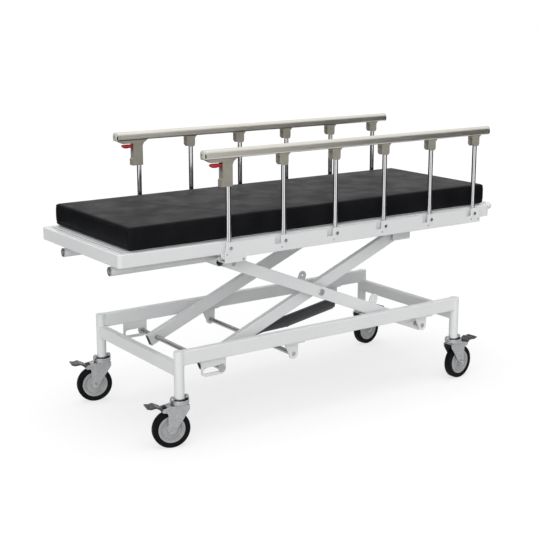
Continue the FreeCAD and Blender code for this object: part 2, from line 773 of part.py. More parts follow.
def post(x, side):
    """A polished tube post with a solid plug in each end, drilled for its two pins."""
    y = side * post_y
    tube = rod_z(x, y, post_diameter, post_foot_z, post_top_z)
    tube = tube.cut(rod_z(x, y, post_diameter - 2 * post_wall, post_foot_z + post_plug_length,
                          post_top_z - post_plug_length))
    half = post_diameter / 2 - post_end_flat
    for z in (post_foot_z, post_top_z):
        tube = tube.fuse(rod_y(x, z, post_end_diameter, y - half, y + half))
    bore = post_pin_diameter + 2 * running_clearance
    for z in (post_foot_z, post_top_z):
        tube = tube.cut(rod_y(x, z, bore, y - post_diameter, y + post_diameter))
    return tube


def rail_bar(x0, x1, y, inset):
    """A bar with the hand rail's rounded section, drawn in by the inset on every side."""
    half = top_rail_width / 2 - inset
    low = top_rail_bottom + inset
    high = top_rail_top - inset
    bar = block(x0, x1, y - half, y + half, low, high)
    bar = soften(bar, top_rail_round - inset,
                 lambda edge: runs_along(edge, along_x) and edge.BoundBox.ZMin > high - 1)
    return soften(bar, top_rail_lower_round - inset,
                  lambda edge: runs_along(edge, along_x) and edge.BoundBox.ZMax < low + 1)


def top_rail(side):
    """The extruded hand rail, hollow, with a cap on each end."""
    y = side * post_y
    foot, head = top_rail_foot_x, top_rail_head_x
    body_foot, body_head = foot + end_cap_length, head - end_cap_length
    body = rail_bar(body_foot, body_head, y, 0.0).cut(rail_bar(foot, head, y, top_rail_wall))
    return [body, rail_bar(foot, body_foot, y, 0.0), rail_bar(body_head, head, y, 0.0)]


def clevis_pin(x, side):
    """The pin on which a post's head turns."""
    y = side * post_y
    return rod_y(x, post_top_z, post_pin_diameter, y - clevis_outer, y + clevis_outer)


def clevis(x, side):
    """A moulded fork under the top rail that takes the head of a post, with its pin."""
    y = side * post_y
    top = top_rail_bottom
    low = top - clevis_height
    foot = x - clevis_foot_side
    head = x + clevis_head_side
    outline = [(foot, top), (foot, low + clevis_taper), (foot + clevis_taper, low),
               (head - clevis_taper / 2, low), (head, low + clevis_taper), (head, top - clevis_taper),
               (head + clevis_taper, top)]
    body = plate_xz(outline, y - clevis_outer, y + clevis_outer)
    slot = block(foot, head + clevis_taper, y - clevis_gap, y + clevis_gap, low, top - clevis_web)
    return body.cut(slot).fuse(clevis_pin(x, side)).removeSplitter()


def handle_housing(side):
    """The moulded housing on the first post: a wing to the rail's end, a flare and a collar."""
    x = post_xs[0]
    y = side * post_y
    top = top_rail_bottom
    low = top - housing_height
    foot = x - housing_foot_side
    head = x + housing_head_side
    wing_end = top_rail_foot_x + end_cap_length
    collar_top = low + housing_collar_height
    outline = [(wing_end, top), (wing_end + 2 * housing_wing, top - housing_wing), (foot, top - housing_wing),
               (foot, collar_top + housing_collar), (foot - housing_collar, collar_top),
               (foot - housing_collar, low), (head, low), (head, top - housing_flare),
               (head + housing_flare / 4, top - housing_flare / 2), (head + housing_flare, top)]
    body = plate_xz(outline, y - clevis_outer, y + clevis_outer)
    room_foot = x - post_end_diameter / 2 - clevis_ear_gap
    post_room = block(room_foot, head + housing_flare, y - clevis_gap, y + clevis_gap, low, top - clevis_web)
    lever_room = block(foot, room_foot - housing_wall, y - clevis_gap, y + clevis_gap,
                       top - 2 * lever_drop, top - housing_wing)
    lever_pin = rod_y(lever_x, lever_z, lever_pin_diameter, y - clevis_outer, y + clevis_outer)
    return body.cut(post_room).cut(lever_room).fuse(clevis_pin(x, side)).fuse(lever_pin).removeSplitter()


def release_lever(side):
    """The lever that frees the folding rail when it is pressed down, a paddle on a cross pin."""
    y = side * post_y
    half = lever_width / 2
    thick = lever_thickness / 2
    tip = lever_x - lever_reach
    outline = [(lever_x, lever_z + thick), (tip + 2 * thick, lever_z + thick), (tip, lever_z + 1.5 * thick),
               (tip, lever_z), (tip + 2 * thick, lever_z - thick), (lever_x, lever_z - thick)]
    eye = rod_y(lever_x, lever_z, lever_eye_diameter, y - half, y + half)
    lever = plate_xz(outline, y - half, y + half).fuse(eye)
    bore = rod_y(lever_x, lever_z, lever_pin_diameter + 2 * running_clearance, y - half, y + half)
    return lever.removeSplitter().cut(bore)


for side in (-1, 1):
    name = side_names[side]
    save("side_channel_" + name, rail_channel(side))
    for i, x in enumerate(post_xs):
        save("post_" + name + "_" + str(i + 1), post(x, side))
    save("top_rail_" + name, top_rail(side))
    save("post_brackets_" + name, [handle_housing(side)] + [clevis(x, side) for x in post_xs[1:]])
    save("release_lever_" + name, release_lever(side))


# Castors, each built with its stem at the origin and its wheel trailing along +X
def turned_wheel(profile):
    """A solid of revolution about the wheel's axle from (radius, offset along the axle) points."""
    points = [Vector(castor_trail, y, wheel_radius + r) for r, y in profile]
    face = Part.Face(Part.makePolygon(points + [points[0]]))
    return face.revolve(Vector(castor_trail, 0, wheel_radius), along_y, 360)


def tyre():
    """The rubber tread with rounded shoulders."""
    half = wheel_width / 2
    flank = [(rim_radius, half - tread_draft), (wheel_radius - tread_shoulder, half),
             (wheel_radius - tread_shoulder / 3, half - tread_shoulder / 2),
             (wheel_radius, half - 1.5 * tread_shoulder)]
    return turned_wheel([(r, -y) for r, y in flank] + flank[::-1])


def rim():
    """The moulded wheel centre: rim band, dished web and long hub, bored for the axle."""
    band = wheel_width / 2 - tread_draft
    hub = hub_diameter / 2
    hub_half = fork_gap / 2 - pedal_side_play
    bore = axle_diameter / 2 + running_clearance
    flank = [(bore, hub_half), (hub, hub_half), (hub + tread_draft, hub_web / 2),
             (rim_radius - rim_band, hub_web / 2), (rim_radius - rim_band / 2, band), (rim_radius, band)]
    return turned_wheel([(r, -y) for r, y in flank] + flank[::-1])


def fork_leg(side):
    """One leg of the fork: wide under the head, upright behind, round at the axle, with a nose."""
    radius = swivel_head_diameter / 2
    barrel = pedal_barrel_diameter / 2
    lug = fork_lug_diameter / 2
    front = fork_plate - radius
    rear = castor_trail + lug
    nose_low = pedal_z - barrel
    outline = [(front, crown_z), (front, pedal_z), (castor_trail - lug, wheel_radius), (rear, wheel_radius),
               (rear, nose_low - 2 * fork_plate), (rear + 2 * fork_plate, nose_low), (nose_reach, nose_low),
               (nose_reach + barrel, pedal_z), (nose_reach, pedal_z + 1.5 * barrel), (radius, crown_z)]
    y0 = side * fork_gap / 2
    y1 = side * (fork_gap / 2 + fork_plate)
    return plate_xz(outline, y0, y1).fuse(rod_y(castor_trail, wheel_radius, fork_lug_diameter, y0, y1))


def fork_crown():
    """The round swivel head over a ball race, and the pressed crown with its short nose."""
    half = fork_gap / 2
    radius = swivel_head_diameter / 2
    recess_z = fork_top - swivel_recess
    head = soften(rod_z(0, 0, swivel_head_diameter, crown_z, fork_top), swivel_recess,
                  lambda edge: edge.BoundBox.ZMax < crown_z + 0.1)
    head = head.cut(rod_z(0, 0, swivel_head_diameter - 2 * fork_plate, recess_z, fork_top))
    head = head.fuse(rod_z(0, 0, swivel_seat_diameter, recess_z, fork_top))
    crown = block(fork_plate - radius, radius, -half, half, crown_z - fork_plate, crown_z)
    nose_end = (radius + nose_reach) / 2
    nose_z = crown_z - nose_drop / 4
    nose = plate_xz([(radius, crown_z - fork_plate), (radius, crown_z), (nose_end, nose_z),
                     (nose_end, nose_z - fork_plate)], -half, half)
    return head.fuse(crown).fuse(nose)


def fork():
    """The pressed fork with the wheel's axle and nuts and the pedal's two pins."""
    half = fork_gap / 2
    reach = half + fork_plate
    angles = [math.radians(60 * i) for i in range(6)]
    nut = axle_nut / 2
    nut_corners = [(castor_trail + nut * math.cos(angle), wheel_radius + nut * math.sin(angle))
                   for angle in angles]
    solid = fork_crown().fuse(rod_y(castor_trail, wheel_radius, axle_diameter, -reach, reach))
    for side in (-1, 1):
        solid = solid.fuse(fork_leg(side))
        solid = solid.fuse(plate_xz(nut_corners, side * reach, side * (reach + axle_nut_height)))
        pin_end = side * (half - pedal_pin_engagement)
        solid = solid.fuse(rod_y(nose_reach, pedal_z, pedal_pin_diameter, pin_end, side * reach))
    king_bore = rod_z(0, 0, stem_diameter + 2 * running_clearance, wheel_radius, castor_height)
    return solid.removeSplitter().cut(king_bore)


def brake_pedal():
    """The brake lever in the nose of the fork: a pivot barrel, a lever and a wide foot plate."""
    half = fork_gap / 2 - pedal_side_play
    wide = half + pedal_overhang
    x, z = nose_reach, pedal_z
    thick = pedal_thickness
    crest_x, crest_z = x + pedal_reach / 2, z + pedal_rise
    hollow_x = x + pedal_reach * 0.75
    end_x = x + pedal_reach
    lever = plate_xz([(x - thick, z + thick), (x + 2 * thick, z + pedal_rise * 0.65), (crest_x, crest_z),
                      (crest_x, crest_z - thick), (x + 3 * thick, z + pedal_rise * 0.35),
                      (x + thick, z - thick / 2)], -half, half)
    tread = plate_xz([(x + 3 * thick, z + pedal_rise * 0.7), (crest_x, crest_z + 1),
                      (hollow_x, crest_z - thick / 2), (end_x, crest_z), (end_x, crest_z - thick),
                      (hollow_x, crest_z - 2 * thick), (crest_x, crest_z - 1.5 * thick)], -wide, wide)
    solid = lever.fuse(tread).fuse(rod_y(x, z, pedal_barrel_diameter, -half, half))
    for side in (-1, 1):
        inner = half - pedal_pin_engagement
        solid = solid.cut(rod_y(x, z, pedal_pin_diameter + 2 * running_clearance, side * inner, side * wide))
    return solid.removeSplitter()


def place(solid, corner):
    """Turn a castor piece about its stem and stand it under its leg."""
    x, y, turn = corner
    solid.rotate(Vector(0, 0, 0), along_z, turn)
    solid.translate(Vector(x, y, 0))
    return solid


corners = {"foot_left": (-half_x, -half_y, foot_castor_turn),
           "foot_right": (-half_x, half_y, foot_castor_turn),
           "head_left": (half_x, -half_y, head_castor_turn),
           "head_right": (half_x, half_y, head_castor_turn)}

for name, corner in corners.items():
    save("castor_fork_" + name, place(fork(), corner))
    save("castor_tyre_" + name, place(tyre(), corner))
    save("castor_rim_" + name, place(rim(), corner))
    save("brake_pedal_" + name, place(brake_pedal(), corner))
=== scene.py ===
import math
import bmesh
import bpy
from mathutils import Matrix, Vector, noise


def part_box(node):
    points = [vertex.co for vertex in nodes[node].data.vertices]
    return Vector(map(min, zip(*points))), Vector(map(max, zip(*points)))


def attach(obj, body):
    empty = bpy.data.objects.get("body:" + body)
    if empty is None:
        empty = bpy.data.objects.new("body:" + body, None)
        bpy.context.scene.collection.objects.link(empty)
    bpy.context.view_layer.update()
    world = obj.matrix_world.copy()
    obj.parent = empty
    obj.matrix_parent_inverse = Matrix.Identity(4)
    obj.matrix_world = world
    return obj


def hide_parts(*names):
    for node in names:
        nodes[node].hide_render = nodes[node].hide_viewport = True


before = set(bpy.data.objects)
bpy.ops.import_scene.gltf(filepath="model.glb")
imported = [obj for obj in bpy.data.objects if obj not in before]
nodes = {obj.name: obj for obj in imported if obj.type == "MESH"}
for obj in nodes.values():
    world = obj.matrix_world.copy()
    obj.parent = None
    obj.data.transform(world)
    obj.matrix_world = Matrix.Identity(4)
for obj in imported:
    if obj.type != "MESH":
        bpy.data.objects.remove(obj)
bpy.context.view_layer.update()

# Base frame
# Two end frames of round legs and a cross tube, and two long rails, all thin steel tube
# coped to fit and welded. The whole is sprayed with white powder coat, which dries with
# a faint orange-peel skin over the beads of the welds.
sides = {"left": -1, "right": 1}
coat_white = (0.84, 0.85, 0.852, 1)
coat_shade = (0.80, 0.812, 0.818, 1)
coat_edge = 0.0022
leg_radius = 0.020
tube_half = 0.015
tube_corner = 0.003
flange_radius = 0.023
cross_tube_top_drop = 0.049
cross_tube_height = 0.050
rail_height = 0.056
bead_radius = 0.0022
bead_pitch = 0.0034
bead_ripple = 0.16
bead_sides = 7
bracket_shafts = ("ram_mount_shaft", "main_pivot_shaft")
bracket_inset = 0.007
bracket_plate_half = 0.003
bracket_flange_drop = 0.005
bracket_foot_reach = 0.042
bracket_head_reach = 0.020


def blank_finish(name):
    """A new material with its node tree's nodes and links, and its shader."""
    finish = bpy.data.materials.new(name)
    finish.use_nodes = True
    tree = finish.node_tree
    return finish, tree.nodes, tree.links, tree.nodes["Principled BSDF"]


def add_noise(parts, links, scale, detail=4.0, stretch=None):
    """A noise in the piece's own space, drawn out along an axis if asked."""
    place = parts.new("ShaderNodeTexCoord")
    cloud = parts.new("ShaderNodeTexNoise")
    cloud.inputs["Scale"].default_value = scale
    cloud.inputs["Detail"].default_value = detail
    if stretch is None:
        links.new(place.outputs["Object"], cloud.inputs["Vector"])
        return cloud
    squeeze = parts.new("ShaderNodeMapping")
    squeeze.inputs["Scale"].default_value = stretch
    links.new(place.outputs["Object"], squeeze.inputs["Vector"])
    links.new(squeeze.outputs["Vector"], cloud.inputs["Vector"])
    return cloud


def add_cells(parts, links, scale):
    """A pattern of small cells in the piece's own space."""
    place = parts.new("ShaderNodeTexCoord")
    cells = parts.new("ShaderNodeTexVoronoi")
    cells.inputs["Scale"].default_value = scale
    links.new(place.outputs["Object"], cells.inputs["Vector"])
    return cells


def add_math(parts, links, operation, first, second):
    """The result of an operation on a node's output and either a number or another output."""
    step = parts.new("ShaderNodeMath")
    step.operation = operation
    links.new(first, step.inputs[0])
    if isinstance(second, float):
        step.inputs[1].default_value = second
    else:
        links.new(second, step.inputs[1])
    return step.outputs["Value"]


def add_ramp(parts, links, source, low, high, start=0.35, stop=0.65):
    """A ramp between two colours, or between two grey levels."""
    ramp = parts.new("ShaderNodeValToRGB")
    first, last = ramp.color_ramp.elements
    first.position, last.position = start, stop
    first.color = low if isinstance(low, tuple) else (low, low, low, 1)
    last.color = high if isinstance(high, tuple) else (high, high, high, 1)
    links.new(source, ramp.inputs["Fac"])
    return ramp


def add_bump(parts, links, shader, source, strength, depth, edge=0.0, under=None):
    """A bump on the shader, over rounded-looking edges or over another bump where one is given."""
    bump = parts.new("ShaderNodeBump")
    bump.inputs["Strength"].default_value = strength
    bump.inputs["Distance"].default_value = depth
    links.new(source, bump.inputs["Height"])
    if edge:
        rounded = parts.new("ShaderNodeBevel")
        rounded.samples = 6
        rounded.inputs["Radius"].default_value = edge
        links.new(rounded.outputs["Normal"], bump.inputs["Normal"])
    if under:
        links.new(under.outputs["Normal"], bump.inputs["Normal"])
    links.new(bump.outputs["Normal"], shader.inputs["Normal"])
    return bump


def powder_coat(name, colour, shade, edge):
    """Sprayed coat: a slight change of tone, a fine skin and soft gloss."""
    finish, parts, links, shader = blank_finish(name)
    tone = add_noise(parts, links, 2.2)
    mixed = add_ramp(parts, links, tone.outputs["Fac"], shade, colour, 0.3, 0.6)
    links.new(mixed.outputs["Color"], shader.inputs["Base Color"])
    gloss = add_noise(parts, links, 14.0)
    rough = add_ramp(parts, links, gloss.outputs["Fac"], 0.34, 0.46)
    links.new(rough.outputs["Color"], shader.inputs["Roughness"])
    skin = add_noise(parts, links, 420.0, 2.0)
    add_bump(parts, links, shader, skin.outputs["Fac"], 0.12, 0.0006, edge)
    shader.inputs["Specular IOR Level"].default_value = 0.4
    return finish


def dress(node, finish):
    """Give a node of the frame one finish all over."""
    mesh = nodes[node].data
    mesh.materials.clear()
    mesh.materials.append(finish)


def dress_where(node, finish, chosen):
    """Give a second finish to the faces of a node whose centre is chosen."""
    mesh = nodes[node].data
    mesh.materials.append(finish)
    place = len(mesh.materials) - 1
    for face in mesh.polygons:
        if chosen(face.center):
            face.material_index = place


def middle_of(node):
    """The middle of a node's box."""
    low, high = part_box(node)
    return (low + high) / 2


def close_mesh(work, sharp_angle=0.6):
    """Finish a mesh: outward normals, and smooth shading except across sharp edges."""
    bmesh.ops.recalc_face_normals(work, faces=work.faces)
    for face in work.faces:
        face.smooth = True
    for edge in work.edges:
        if len(edge.link_faces) == 2 and edge.calc_face_angle(0) > sharp_angle:
            edge.smooth = False
    mesh = bpy.data.meshes.new("piece")
    work.to_mesh(mesh)
    work.free()
    return mesh


def placed(name, data):
    """A new object in the scene, with its mesh, light or camera."""
    thing = bpy.data.objects.new(name, data)
    bpy.context.scene.collection.objects.link(thing)
    return thing


def add_piece(name, mesh, body, finish):
    """Put a finished mesh in the scene, give it its finish and let it ride on its body."""
    piece = placed(name, mesh)
    mesh.materials.append(finish)
    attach(piece, body)
    return piece


def joined(meshes):
    """One mesh out of several, each removed once it is copied in."""
    work = bmesh.new()
    for mesh in meshes:
        work.from_mesh(mesh)
        bpy.data.meshes.remove(mesh)
    whole = bpy.data.meshes.new("piece")
    work.to_mesh(whole)
    work.free()
    return whole


def lofted(rings, closed, sharp_angle):
    """A skin over rings of points, which meets its own start or else is capped at both ends."""
    work = bmesh.new()
    hoops = [[work.verts.new(point) for point in ring] for ring in rings]
    count, around = len(hoops), len(hoops[0])
    for i in range(count if closed else count - 1):
        near, far = hoops[i], hoops[(i + 1) % count]
        for k in range(around):
            m = (k + 1) % around
            work.faces.new((near[k], near[m], far[m], far[k]))
    if not closed:
        work.faces.new(hoops[0])
        work.faces.new(hoops[-1][::-1])
    return close_mesh(work, sharp_angle)


def swept(path, out, radii, round_sides, closed):
    """A round strand along a path with a radius at each point. Out is square to the path's plane."""
    count = len(path)
    angles = [2 * math.pi * k / round_sides for k in range(round_sides)]
    rings = []
    for i, point in enumerate(path):
        before = path[i - 1] if closed or i else point
        after = path[(i + 1) % count] if closed or i + 1 < count else point
        side = (after - before).cross(out).normalized()
        ring = [point + radii[i] * (math.cos(angle) * side + math.sin(angle) * out) for angle in angles]
        rings.append(ring)
    return lofted(rings, closed, 1.2)


def even_steps(corners, step, closed):
    """The same path with points at nearly even steps."""
    loop = corners + [corners[0]] if closed else corners
    points = []
    for start, end in zip(loop, loop[1:]):
        cuts = max(1, round((end - start).length / step))
        points += [start.lerp(end, i / cuts) for i in range(cuts)]
    return points if closed else points + [loop[-1]]


def tube_outline(half_wide, half_high):
    """Corner points of a rectangular tube's outline with small round corners, as (across, up)."""
    points = []
    for quarter, (across, up) in enumerate(((1, 1), (-1, 1), (-1, -1), (1, -1))):
        for i in range(4):
            angle = math.radians(90 * quarter + 30 * i)
            points.append(Vector((across * (half_wide - tube_corner) + tube_corner * math.cos(angle),
                                  up * (half_high - tube_corner) + tube_corner * math.sin(angle), 0)))
    return points


def weld_mesh(path, out, closed=True):
    """The rippled bead that a hand-held torch leaves along a joint."""
    fine = even_steps(path, bead_pitch / 4, closed)
    radii = [bead_radius * (1 + bead_ripple * math.sin(math.pi * i / 2)) for i in range(len(fine))]
    if not closed:
        radii[0] = radii[-1] = bead_radius / 3
    return swept(fine, out, radii, bead_sides, closed)


def leg_surface(across):
    """How far a leg's round surface lies from its axis, at a distance across it."""
    return math.sqrt(max(leg_radius ** 2 - across ** 2, 0))


white_coat = powder_coat("white powder coat", coat_white, coat_shade, coat_edge)
end_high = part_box("head_end_frame")[1]
leg_x = middle_of("head_end_frame").x
leg_y = end_high.y - flange_radius
base_top = end_high.z
rail_middle = base_top - rail_height / 2
cross_middle = base_top - cross_tube_top_drop - cross_tube_height / 2
base_welds = []
for end_x in (-leg_x, leg_x):
    inward = -math.copysign(1, end_x)
    for side_y in (-leg_y, leg_y):
        seam = [Vector((end_x + inward * leg_surface(p.x), side_y + p.x, rail_middle + p.y))
                for p in even_steps(tube_outline(tube_half, rail_height / 2), bead_pitch, True)
                if p.y < rail_height / 2 - tube_corner]
        start = max(range(len(seam)), key=lambda i: (seam[i] - seam[i - 1]).length)
        base_welds.append(weld_mesh(seam[start:] + seam[:start], Vector((inward, 0, 0)), False))
        to_middle = -math.copysign(1, side_y)
        seam = [Vector((end_x + p.x, side_y + to_middle * leg_surface(p.x), cross_middle + p.y))
                for p in even_steps(tube_outline(tube_half, cross_tube_height / 2), bead_pitch, True)]
        base_welds.append(weld_mesh(seam, Vector((0, to_middle, 0))))
bracket_y = leg_y - bracket_inset
bracket_level = base_top - rail_height - bracket_flange_drop
for shaft in bracket_shafts:
    shaft_x = middle_of(shaft).x
    for side_y in (-bracket_y, bracket_y):
        for face_y in (side_y - bracket_plate_half, side_y + bracket_plate_half):
            line = [Vector((shaft_x + reach, face_y, bracket_level))
                    for reach in (-bracket_foot_reach, bracket_head_reach)]
            base_welds.append(weld_mesh(line, Vector((0, 0, 1)), False))
add_piece("base_welds", joined(base_welds), "base", white_coat)
for name in ("foot_end_frame", "head_end_frame", "base_rail_left", "base_rail_right"):
    dress(name, white_coat)

# Castors
# Each is a pressed, zinc-plated fork on a ball race, bolted by its flange under a leg. The
# wheel is a grey moulded centre with a black rubber tread, and trails behind its leg. A
# dark moulded pedal in the fork's nose locks it.
zinc_light = (0.45, 0.46, 0.465, 1)
zinc_dark = (0.33, 0.34, 0.345, 1)
zinc_rubbed = (0.78, 0.78, 0.78, 1)
rubber_black = (0.0055, 0.0055, 0.0055, 1)
rubber_shade = (0.0035, 0.0035, 0.0035, 1)
wheel_light = (0.44, 0.45, 0.455, 1)
wheel_shade = (0.36, 0.37, 0.375, 1)
pedal_light = (0.045, 0.046, 0.048, 1)
pedal_shade = (0.028, 0.029, 0.031, 1)
wheel_radius = 0.075
tread_depth = 0.021
tread_half = 0.016
tread_shoulder = 0.006
tread_ring_gap = 0.0008
tread_ring_width = 0.0024
tread_ring_rise = 0.0006
wheel_steps = 96
flange_level = 0.1961
flange_top = 0.21
flange_reach = 0.045
flange_bolt_reach = 0.031
flange_bolt_across = 0.0140
flange_bolt_top = 0.0078
flange_bolt_washer = 0.0013
flange_bolt_sink = 0.0001
axle_nut_face = 0.032
axle_end_length = 0.0045
fork_top = 0.1907
swivel_radius = 0.037
swivel_lip_drop = 0.0085
swivel_lip_radius = 0.0010
pedal_rib_half = 0.022
pedal_rib_radius = 0.0011
pedal_end = (0.136, 0.1777)
pedal_hollow = (0.1195, 0.1752)
seal_outline = ((0.0178, -0.0050), (0.0336, -0.0050), (0.0336, -0.0012), (0.0312, -0.0003),
                (0.0178, -0.0003))
castor_names = ("foot_left", "foot_right", "head_left", "head_right")


def add_edge_tone(parts, links, plain, rubbed, reach):
    """Mix a lighter tone in where the surface turns a corner, as rubbed edges show."""
    rounded = parts.new("ShaderNodeBevel")
    rounded.samples = 6
    rounded.inputs["Radius"].default_value = reach
    shape = parts.new("ShaderNodeNewGeometry")
    meet = parts.new("ShaderNodeVectorMath")
    meet.operation = "DOT_PRODUCT"
    links.new(rounded.outputs["Normal"], meet.inputs[0])
    links.new(shape.outputs["Normal"], meet.inputs[1])
    turn = add_ramp(parts, links, meet.outputs["Value"], 1.0, 0.0, 0.88, 0.985)
    mix = parts.new("ShaderNodeMix")
    mix.data_type = "RGBA"
    links.new(turn.outputs["Color"], mix.inputs["Factor"])
    links.new(plain, mix.inputs["A"])
    mix.inputs["B"].default_value = rubbed
    return mix.outputs["Result"]


def zinc_plate(name, light, dark, rubbed, rough_low, rough_high):
    """Plated steel with crystal patches, a fine drawn grain and rubbed edges."""
    finish, parts, links, shader = blank_finish(name)
    patches = add_cells(parts, links, 240.0)
    tone = add_ramp(parts, links, patches.outputs["Color"], dark, light, 0.0, 0.9)
    links.new(add_edge_tone(parts, links, tone.outputs["Color"], rubbed, 0.0012), shader.inputs["Base Color"])
    wear = add_noise(parts, links, 60.0)
    rough = add_ramp(parts, links, wear.outputs["Fac"], rough_low, rough_high)
    links.new(rough.outputs["Color"], shader.inputs["Roughness"])
    add_bump(parts, links, shader, wear.outputs["Fac"], 0.15, 0.0004, 0.0012)
    shader.inputs["Metallic"].default_value = 0.9
    return finish


def moulded(name, colour, shade, roughness, grain, depth, shine=0.5):
    """Moulded plastic or rubber: an even tone with a fine spark-eroded texture."""
    finish, parts, links, shader = blank_finish(name)
    tone = add_noise(parts, links, 25.0)
    mixed = add_ramp(parts, links, tone.outputs["Fac"], shade, colour)
    links.new(mixed.outputs["Color"], shader.inputs["Base Color"])
    skin = add_noise(parts, links, grain, 3.0)
    rough = add_ramp(parts, links, skin.outputs["Fac"], roughness - 0.06, roughness + 0.08)
    links.new(rough.outputs["Color"], shader.inputs["Roughness"])
    add_bump(parts, links, shader, skin.outputs["Fac"], 0.2, depth, 0.0008)
    shader.inputs["Specular IOR Level"].default_value = shine
    return finish


def turned(profile, steps, closed=True, sharp_angle=0.6):
    """A lathe-turned mesh round Y from (radius, height) points. An open outline is capped."""
    work = bmesh.new()
    rings = []
    for i in range(steps):
        angle = 2 * math.pi * i / steps
        rings.append([work.verts.new((r * math.cos(angle), y, r * math.sin(angle))) for r, y in profile])
    count = len(profile)
    for i in range(steps):
        near, far = rings[i], rings[(i + 1) % steps]
        for j in range(count if closed else count - 1):
            k = (j + 1) % count
            work.faces.new((near[j], near[k], far[k], far[j]))
    if not closed:
        work.faces.new([ring[0] for ring in rings])
        work.faces.new([ring[-1] for ring in rings])
    return close_mesh(work, sharp_angle)


def arc_points(centre_r, centre_y, radius, start, stop, count):
    """Points of a round corner in a lathe outline, angles in degrees from the radius direction."""
    points = []
    for i in range(count + 1):
        angle = math.radians(start + (stop - start) * i / count)
        points.append((centre_r + radius * math.cos(angle), centre_y + radius * math.sin(angle)))
    return points


def stood_up(mesh, place):
    """Stand a turned mesh on end, its Y axis up, at a place."""
    mesh.transform(Matrix.Translation(place) @ Matrix.Rotation(math.pi / 2, 4, "X"))
    return mesh


def hex_bolt(place, across, height, washer):
    """A hexagon bolt head on its washer, upright, with a chamfered top."""
    corner = across / 2 / math.cos(math.pi / 6)
    soft = height / 6
    head = turned([(corner, washer), (corner, height - soft), (corner - 1.6 * soft, height)], 6, False, 0.4)
    ring_radius = corner + 1.5 * washer
    ring_outline = [(ring_radius, 0), (ring_radius, 0.7 * washer), (ring_radius - 0.3 * washer, washer)]
    ring = turned(ring_outline, 32, False)
    return [stood_up(head, place), stood_up(ring, place)]


def tread_outline():
    """Half of the tread's outline with a moulded ring on its flank, then its mirror image."""
    ring_out = wheel_radius - tread_shoulder - tread_ring_gap
    ring_in = ring_out - tread_ring_width
    bulge = tread_half + tread_ring_rise
    foot = wheel_radius - tread_depth
    half = [(foot, -tread_half + 0.002), (foot + 0.005, -tread_half), (ring_in, -tread_half),
            (ring_in + tread_ring_rise, -bulge), (ring_out - tread_ring_rise, -bulge),
            (ring_out, -tread_half)]
    half += arc_points(wheel_radius - tread_shoulder, tread_shoulder - tread_half, tread_shoulder,
                       -90, -20, 6)
    half += [(wheel_radius - 0.0002, -0.006), (wheel_radius, -0.0006), (wheel_radius + 0.0003, 0.0)]
    return half + [(r, -y) for r, y in reversed(half[:-1])]


def rim_outline():
    """The wheel centre's outline: long hub, thin web, a step and a ringed rim band."""
    band = wheel_radius - tread_depth
    half = [(0.0061, -0.0205), (0.0155, -0.0205), (0.017, -0.019), (0.0185, -0.011), (0.021, -0.0085),
            (0.0270, -0.0080), (0.0276, -0.0087), (0.0290, -0.0087), (0.0296, -0.0078),
            (0.036, -0.0068), (0.0385, -0.0070), (0.040, -0.0092), (0.0415, -0.0135), (0.043, -0.0142),
            (0.0445, -0.0142), (0.0452, -0.0128), (0.0462, -0.0128), (0.0469, -0.0142),
            (band - 0.0004, -0.0142)]
    return half + [(r, -y) for r, y in reversed(half)]


def axle_end():
    """The threaded end of an axle that stands out of its nut."""
    root, crest = 0.0048, 0.0056
    pitch = axle_end_length / 4
    points = []
    for i in range(4):
        points += [(root, i * pitch), (crest, (i + 0.5) * pitch)]
    return turned(points + [(root, axle_end_length)], 24, False, 0.3)


